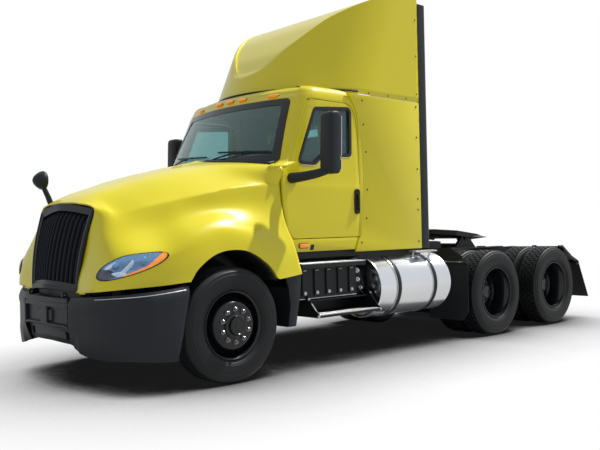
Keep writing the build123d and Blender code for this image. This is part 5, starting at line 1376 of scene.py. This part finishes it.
straps, edges = Shape(), Shape()
for x in STRAPS:
    straps.barrel([(x + far, TANK_R + rise) for far, rise in STRAP_SECTION], TANK_Y, TANK_Z, 96)
    straps.prism(STRAP_FOOT, x - STRAP_HALF, x + STRAP_HALF, axis="x")
    # painted highlights: thin bright steel rings at each strap's two edges; a short steel rod by each strap's
    # foot goes with them
    for far, low, high in ((-.034, .0055, .0062), (.029, .0062, .0055)):
        edges.barrel([(x + far, TANK_R), (x + far, TANK_R + low), (x + far + .005, TANK_R + high),
                      (x + far + .005, TANK_R)], TANK_Y, TANK_Z, 72)
    edges.rod((x, 1.02, .955), (x, 1.075, .925), .008, 8)
both("tank_straps_{}", straps, CHASSIS, replaces="tank_straps", bevel=.0015)
both("strap_highlights_and_rods_{}", edges, STEEL)

# battery box: cover bolts and catches, bright lip at its foot, and the shelf behind the lower step
bolts = Shape()
for rib in range(5):
    x = BOX_FRONT + (rib + .5) * RIB_STEP
    bolts.bolt((x, 1.014, .700), (0, 1, 0), .012, .014)
    bolts.rod((x - .022, 1.016, .918), (x + .022, 1.016, .918), .004, 6)
for x in (-1.855, -.990):
    for z, y in ((.486, 1.166), (.640, 1.032)):
        bolts.bolt((x, y, z), (0, 1, 0), .011, .010)
bolts.rod((BOX_FRONT, 1.000, .643), (-.880, 1.000, .643), .005, 6)
both("step_bolts_{}", bolts, STEEL)
shelf = Shape().box(-1.842, -1.003, .800, .812, .500, .655).box(-1.842, -1.003, .800, 1.020, .618, .630)
both("step_back_{}", shelf, CHASSIS)
treads = Shape()
half = TOOTH / 2
for x0, x1, edge, z in STEPS:
    for y in (edge - row for row in TOOTH_ROWS):
        for x in np.linspace(x0 + .02, x1 - .02, TEETH):
            corners = [(x + a, y - b, z) for a, b in ((-half, 0), (half, 0), (half, TOOTH), (-half, TOOTH))]
            treads.add([*corners, (x, y - half, z + half)], [(0, 1, 4), (1, 2, 4), (2, 3, 4), (3, 0, 4)])
    treads.rod((x0, edge - .006, z - .004), (x1, edge - .006, z - .004), .007, 8)
    for strip in TREAD_STRIPS:
        treads.box(x0 + .015, x1 - .015, edge - strip, edge - strip - .009, z, z + .004)
both("tread_teeth_{}", treads, STEEL, outward=False)

# Air dryer's pipes and the small valves between the box and the tank on the left
pipes = Shape()
for path in ([(-1.775, .880, .905), (-1.775, .880, .935), (-1.800, .820, .950), (-1.860, .600, .950),
              (-1.90, .45, .92)],
             [(-1.705, .940, .860), (-1.720, .985, .840), (-1.760, .990, .800), (-1.800, .975, .720),
              (-1.840, .900, .640)],
             [(-1.720, .930, .700), (-1.740, .990, .680), (-1.800, 1.000, .620), (-1.835, .960, .560)]):
    pipes.tube(spline(path, 30), .009, 8)
piece("dryer_pipes", pipes, CHASSIS, angle=50)
valves = Shape()
for x, z, y in ((-1.715, .880, .985), (-1.715, .790, .990), (-1.790, .700, .955)):
    valves.rod((x, y - .09, z), (x, y, z), .024)
    valves.rod((x, y, z), (x, y + .020, z), .015, 6)
piece("dryer_valves", valves, STEEL)

# ---- Under the cab, deck and frame ---------------------------------------------------------------
RAIL_Y = .430                                  # outer face of the frame's rails
under = Shape().box(-2.800, -1.800, .925, .935, .985, 1.085)
for x in (-1.95, -2.62):                       # hanger brackets of the side panel
    under.prism([(RAIL_Y, .90), (RAIL_Y, 1.00), (.925, 1.085), (.925, 1.020)], x - .020, x + .020, axis="x")
piece("underbody", under.mirror().box(-1.800, -.830, -.960, .960, 1.030, 1.098), CHASSIS, bevel=.002)

deck = Shape()
for x0, x1 in ((-1.790, -1.650), (-1.010, -.880)):
    deck.box(x0, x1, .345, RAIL_Y, 1.000, 1.100)
deck.mirror().box(-3.480, -1.900, -RAIL_Y, RAIL_Y, 1.000, 1.006)
for x in np.arange(-3.46, -1.92, .030):        # raised bars of the walkway
    deck.box(x, x + .010, -.420, .420, 1.006, 1.012)
piece("deck_walkway", deck, DECK, replaces="deck_plates")

bolts = Shape()
for x in (-2.02, -2.08, -3.12, -3.18, -4.50, -4.58, -5.46, -5.52, -3.52, -3.62, -4.84, -4.94):
    for z in (.80, .86, .92):
        bolts.bolt((x, RAIL_Y, z), (0, 1, 0), .010, .012)
piece("rail_bolts", bolts.mirror(), CHASSIS)

# Slider rails with their stops, gussets of the frame's end, air tanks, lock rack, ribbed cover
fittings = Shape()
fittings.box(-5.10, -3.62, .405, .520, 1.000, 1.018)
for x in (-4.06, -4.72):
    fittings.box(x, x + .08, .405, .500, 1.018, 1.030)
fittings.prism([(-5.560, .740), (-5.560, .990), (-5.400, .990)], .420, .428)
fittings.barrel([(-3.30, .0003), (-3.302, .08), (-3.315, .115), (-3.335, .12), (-3.665, .12), (-3.685, .115),
                 (-3.698, .08), (-3.70, .0003)], .20, .860, 32)
fittings.mirror()
fittings.box(-4.555, -4.145, -.350, .350, 1.014, 1.070)
fittings.box(-3.850, -3.050, -.420, .420, 1.008, 1.116)
for x in np.arange(-3.82, -3.08, .085):
    fittings.box(x, x + .030, -.405, .405, 1.116, 1.122)
piece("frame_fittings", fittings, CHASSIS, bevel=.002, angle=35)

# Fifth wheel plate: grease grooves, lock, skirts and ramp ribs, all leaning with the plate
TILT = math.radians(7)
PIVOT_X, PIVOT_Z = -4.350, 1.145
SKIRT_EDGE = [(.430, -.260), (.430, .260), (.250, .480), (-.200, .480)]
BOX_FACES = [(0, 1, 3, 2), (4, 6, 7, 5), (0, 4, 5, 1), (2, 3, 7, 6), (0, 2, 6, 4), (1, 5, 7, 3)]


def on_plate(x, y, z):
    """From the plate's own lean to the frame: x ahead of the pivot, z above it."""
    return (PIVOT_X + x * math.cos(TILT) - z * math.sin(TILT), y,
            PIVOT_Z + x * math.sin(TILT) + z * math.cos(TILT))


grooves = Shape()
for path in ([(.36, -.20), (.38, 0), (.36, .20)], [(.10, .16), (.02, .28), (-.14, .36)],
             [(.10, -.16), (.02, -.28), (-.14, -.36)], [(.24, .20), (.10, .38)], [(.24, -.20), (.10, -.38)]):
    grooves.tube([on_plate(x, y, .0735) for x, y in spline(path, 16)], .004, 6)
piece("plate_grease", grooves, EDGE_BLACK, "fifth_wheel_plate")
lock = Shape().box(-.240, .250, -.280, .280, .016, .059).box(-.020, .200, -.150, .150, .008, .059)
piece("plate_lock", lock.moved(on_plate), CHASSIS, "fifth_wheel_plate", bevel=.002)
skirt = Shape()
for a, b in zip(SKIRT_EDGE, SKIRT_EDGE[1:]):
    skirt.add([(x - inset, y * share, z) for inset, share in ((.003, .995), (.018, .965)) for x, y in (a, b)
               for z in (.062, .010)], BOX_FACES)
skirt.prism([(-.20, .060), (-.55, .060), (-.20, -.005)], .330, .345)
piece("plate_skirts", skirt.mirror().moved(on_plate), CHASSIS, "fifth_wheel_plate", bevel=.0015)
handle = Shape()
for path, radius in (([(-.10, .20, .030), (-.10, .46, .030), (-.12, .52, .028), (-.12, .600, .028)], .009),
                     ([(-.12, .600, .028), (-.16, .612, .028), (-.16, .640, .028), (-.11, .640, .028),
                       (-.12, .600, .028)], .007)):
    handle.tube([on_plate(*p) for p in path], radius, 8)
piece("release_handle", handle, STEEL, "fifth_wheel_plate", angle=60)

# Mudflaps: soft sheet with pressed ribs, bolted under its hanger
HANGER_ARM = rounded([(-5.360, 1.000), (-5.360, 1.018), (-5.450, 1.018), (-5.685, .868), (-5.845, .800),
                      (-5.835, .768), (-5.668, .835), (-5.440, .990)], .010, 2)
flap = Shape().prism([(-5.820, .780), (-5.832, .780), (-5.962, .528), (-6.083, .290), (-6.071, .290),
                      (-5.948, .532)], .800, 1.225)
for y in (.832, .977, 1.122):
    flap.prism([(-5.838, .750), (-5.844, .744), (-6.072, .320), (-6.066, .326)], y, y + .030)
both("mudflap_{}", flap, FLAP, replaces="mudflaps", bevel=.002)
hanger = Shape().prism(HANGER_ARM, 1.185, 1.210).prism(HANGER_ARM, .800, .815)
hanger.prism([(-5.440, 1.006), (-5.678, .862), (-5.838, .790), (-5.838, .784), (-5.676, .856),
              (-5.440, 1.000)], .815, 1.185)
hanger.rod((-5.500, RAIL_Y, .966), (-5.500, 1.200, .966), .020)
hanger.rod((-5.826, .800, .780), (-5.826, 1.225, .780), .016, 12)
hanger.box(-5.560, -5.440, RAIL_Y, .442, .920, .995)
hanger.prism([(1.060, .955), (1.185, .955), (1.185, .90)], -5.506, -5.494, axis="x")
both("flap_hanger_{}", hanger, CHASSIS, bevel=.0015)
clamp = Shape().box(-5.843, -5.815, .815, 1.210, .742, .768)
for y in (.83, .93, 1.03, 1.13, 1.20):
    clamp.bolt((-5.843, y, .755), (-1, 0, -.2), .009, .009)
both("flap_clamp_{}", clamp, STEEL, bevel=.001)

# Stiff splash panel in front of the first driven tyres, carried up behind the side panel
splash = Shape().prism(rounded([(.640, .215), (1.130, .215), (1.205, .330), (1.205, .895), (.640, .895)],
                               [.02, .05, .05, .02, .02]), -3.324, -3.316, axis="x")
for z in (.35, .55, .75):
    splash.prism(oblong(.70, 1.15, z - .03, z + .03, .02), -3.316, -3.312, axis="x")
splash.prism([(RAIL_Y, .900), (1.130, .900), (1.130, .960), (.980, 1.050), (RAIL_Y, 1.050)], -3.326, -3.318,
             axis="x")
splash.rod((-3.320, .530, .880), (-3.320, 1.200, .880), .016, 12)
both("splash_sheet_{}", splash, FLAP, bevel=.0015)
bar = Shape().box(-3.314, -3.306, .640, 1.130, .886, .900)
for y in (.70, .90, 1.10):
    bar.bolt((-3.306, y, .893), (1, 0, 0), .008, .008)
both("splash_bar_{}", bar, STEEL, bevel=.001)

# Air springs' bellows, brake chambers with their rods, and shock absorbers on the driven axles
BELLOWS = [(.0003, .432), (.095, .432), (.118, .455), (.122, .50), (.112, .535), (.105, .550), (.114, .565),
           (.124, .60), (.122, .66), (.110, .700), (.090, .719), (.0003, .719)]
CHAMBER = [(.16, .0003), (.16, .06), (.17, .085), (.22, .092), (.235, .098), (.25, .092), (.34, .090),
           (.36, .06), (.36, .0003)]
bellows, chambers = Shape(), Shape()
for axle_x in DRIVE_X.values():
    bellows.upright(BELLOWS, axle_x - .360, .400, 32)
    chambers.barrel([(axle_x + ahead, r) for ahead, r in CHAMBER], .60, .640, 28)
    chambers.rod((axle_x + .05, .60, .600), (axle_x + .17, .60, .636), .012, 8)
    chambers.rod((axle_x - .10, .545, .440), (axle_x - .20, .520, .800), .030, 14)
    chambers.rod((axle_x - .145, .535, .600), (axle_x - .215, .517, .860), .022, 14)
piece("air_spring_bellows", bellows.mirror(), RUBBER, angle=50)
piece("brake_chambers", chambers.mirror(), CHASSIS)

# ---- Stage: floor, sky, sun ----------------------------------------------------------------------
FLOOR_SIZE, FLOOR_GREY = 160, 0.42
COVER_REACH = 1.7              # how far off a thing still darkens the floor
OPEN_LEAST, DARKEST = 0.42, 0.010              # openness at which the floor is darkest, and how dark

bpy.ops.mesh.primitive_plane_add(size=FLOOR_SIZE, location=(0, 0, 0))
floor = bpy.context.object
floor.name = "floor"
floor_mat = bpy.data.materials.new("floor")
floor_mat.use_nodes = True
tree = floor_mat.node_tree
bsdf = tree.nodes["Principled BSDF"]
set_inputs(tree, bsdf, {"Base Color": (FLOOR_GREY, FLOOR_GREY, FLOOR_GREY, 1), "Roughness": 0.9})
# the camera sees plain white, darkened softly where the floor is covered
cover = add_node(tree, "AmbientOcclusion", {"Distance": COVER_REACH})
shade = add_node(tree, "MapRange", {"Value": cover["AO"], "From Min": OPEN_LEAST, "From Max": 1.0,
                                    "To Min": DARKEST, "To Max": 1.0})
glow = add_node(tree, "Emission", {"Strength": shade["Result"]})
seen_by = add_node(tree, "LightPath", {})
blend = add_node(tree, "MixShader", {"Fac": seen_by["Is Camera Ray"], 1: bsdf.outputs[0], 2: glow[0]})
set_inputs(tree, tree.nodes["Material Output"], {"Surface": blend[0]})
floor.data.materials.append(floor_mat)

SKY_FILL = 0.37                # light from all round
SKY_MIRRORED = 0.72            # what polished faces see of it
world = bpy.data.worlds.new("world")
bpy.context.scene.world = world
world.use_nodes = True
tree = world.node_tree
sky = tree.nodes["Background"]
set_inputs(tree, sky, {"Color": (0.97, 0.985, 1, 1), "Strength": SKY_FILL})
mirrored = add_node(tree, "Background", {"Color": (0.95, 0.975, 1, 1), "Strength": SKY_MIRRORED})
seen = add_node(tree, "Background", {"Color": (1, 1, 1, 1)})
ray = add_node(tree, "LightPath", {})
straight = add_node(tree, "Math", {0: ray["Is Camera Ray"], 1: ray["Is Transmission Ray"]}, "MAXIMUM")
lit = add_node(tree, "MixShader", {"Fac": ray["Is Glossy Ray"], 1: sky.outputs[0], 2: mirrored[0]})
shown = add_node(tree, "MixShader", {"Fac": straight[0], 1: lit[0], 2: seen[0]})
set_inputs(tree, tree.nodes["World Output"], {"Surface": shown[0]})

SUN_TOWARD = (0.56, -0.13, -0.82)              # from the mirror's shadow in the photograph
SUN_POWER, SUN_COLOR = 4.4, (1.0, 0.98, 0.94)
SUN_WIDTH = 1.6                # degrees across, which softens the shadows' edges

sun = bpy.data.lights.new("sun", "SUN")
sun.energy = SUN_POWER
sun.color = SUN_COLOR
sun.angle = math.radians(SUN_WIDTH)
sun_obj = bpy.data.objects.new("sun", sun)
bpy.context.collection.objects.link(sun_obj)
sun_obj.rotation_euler = Vector(SUN_TOWARD).to_track_quat("-Z", "Y").to_euler()
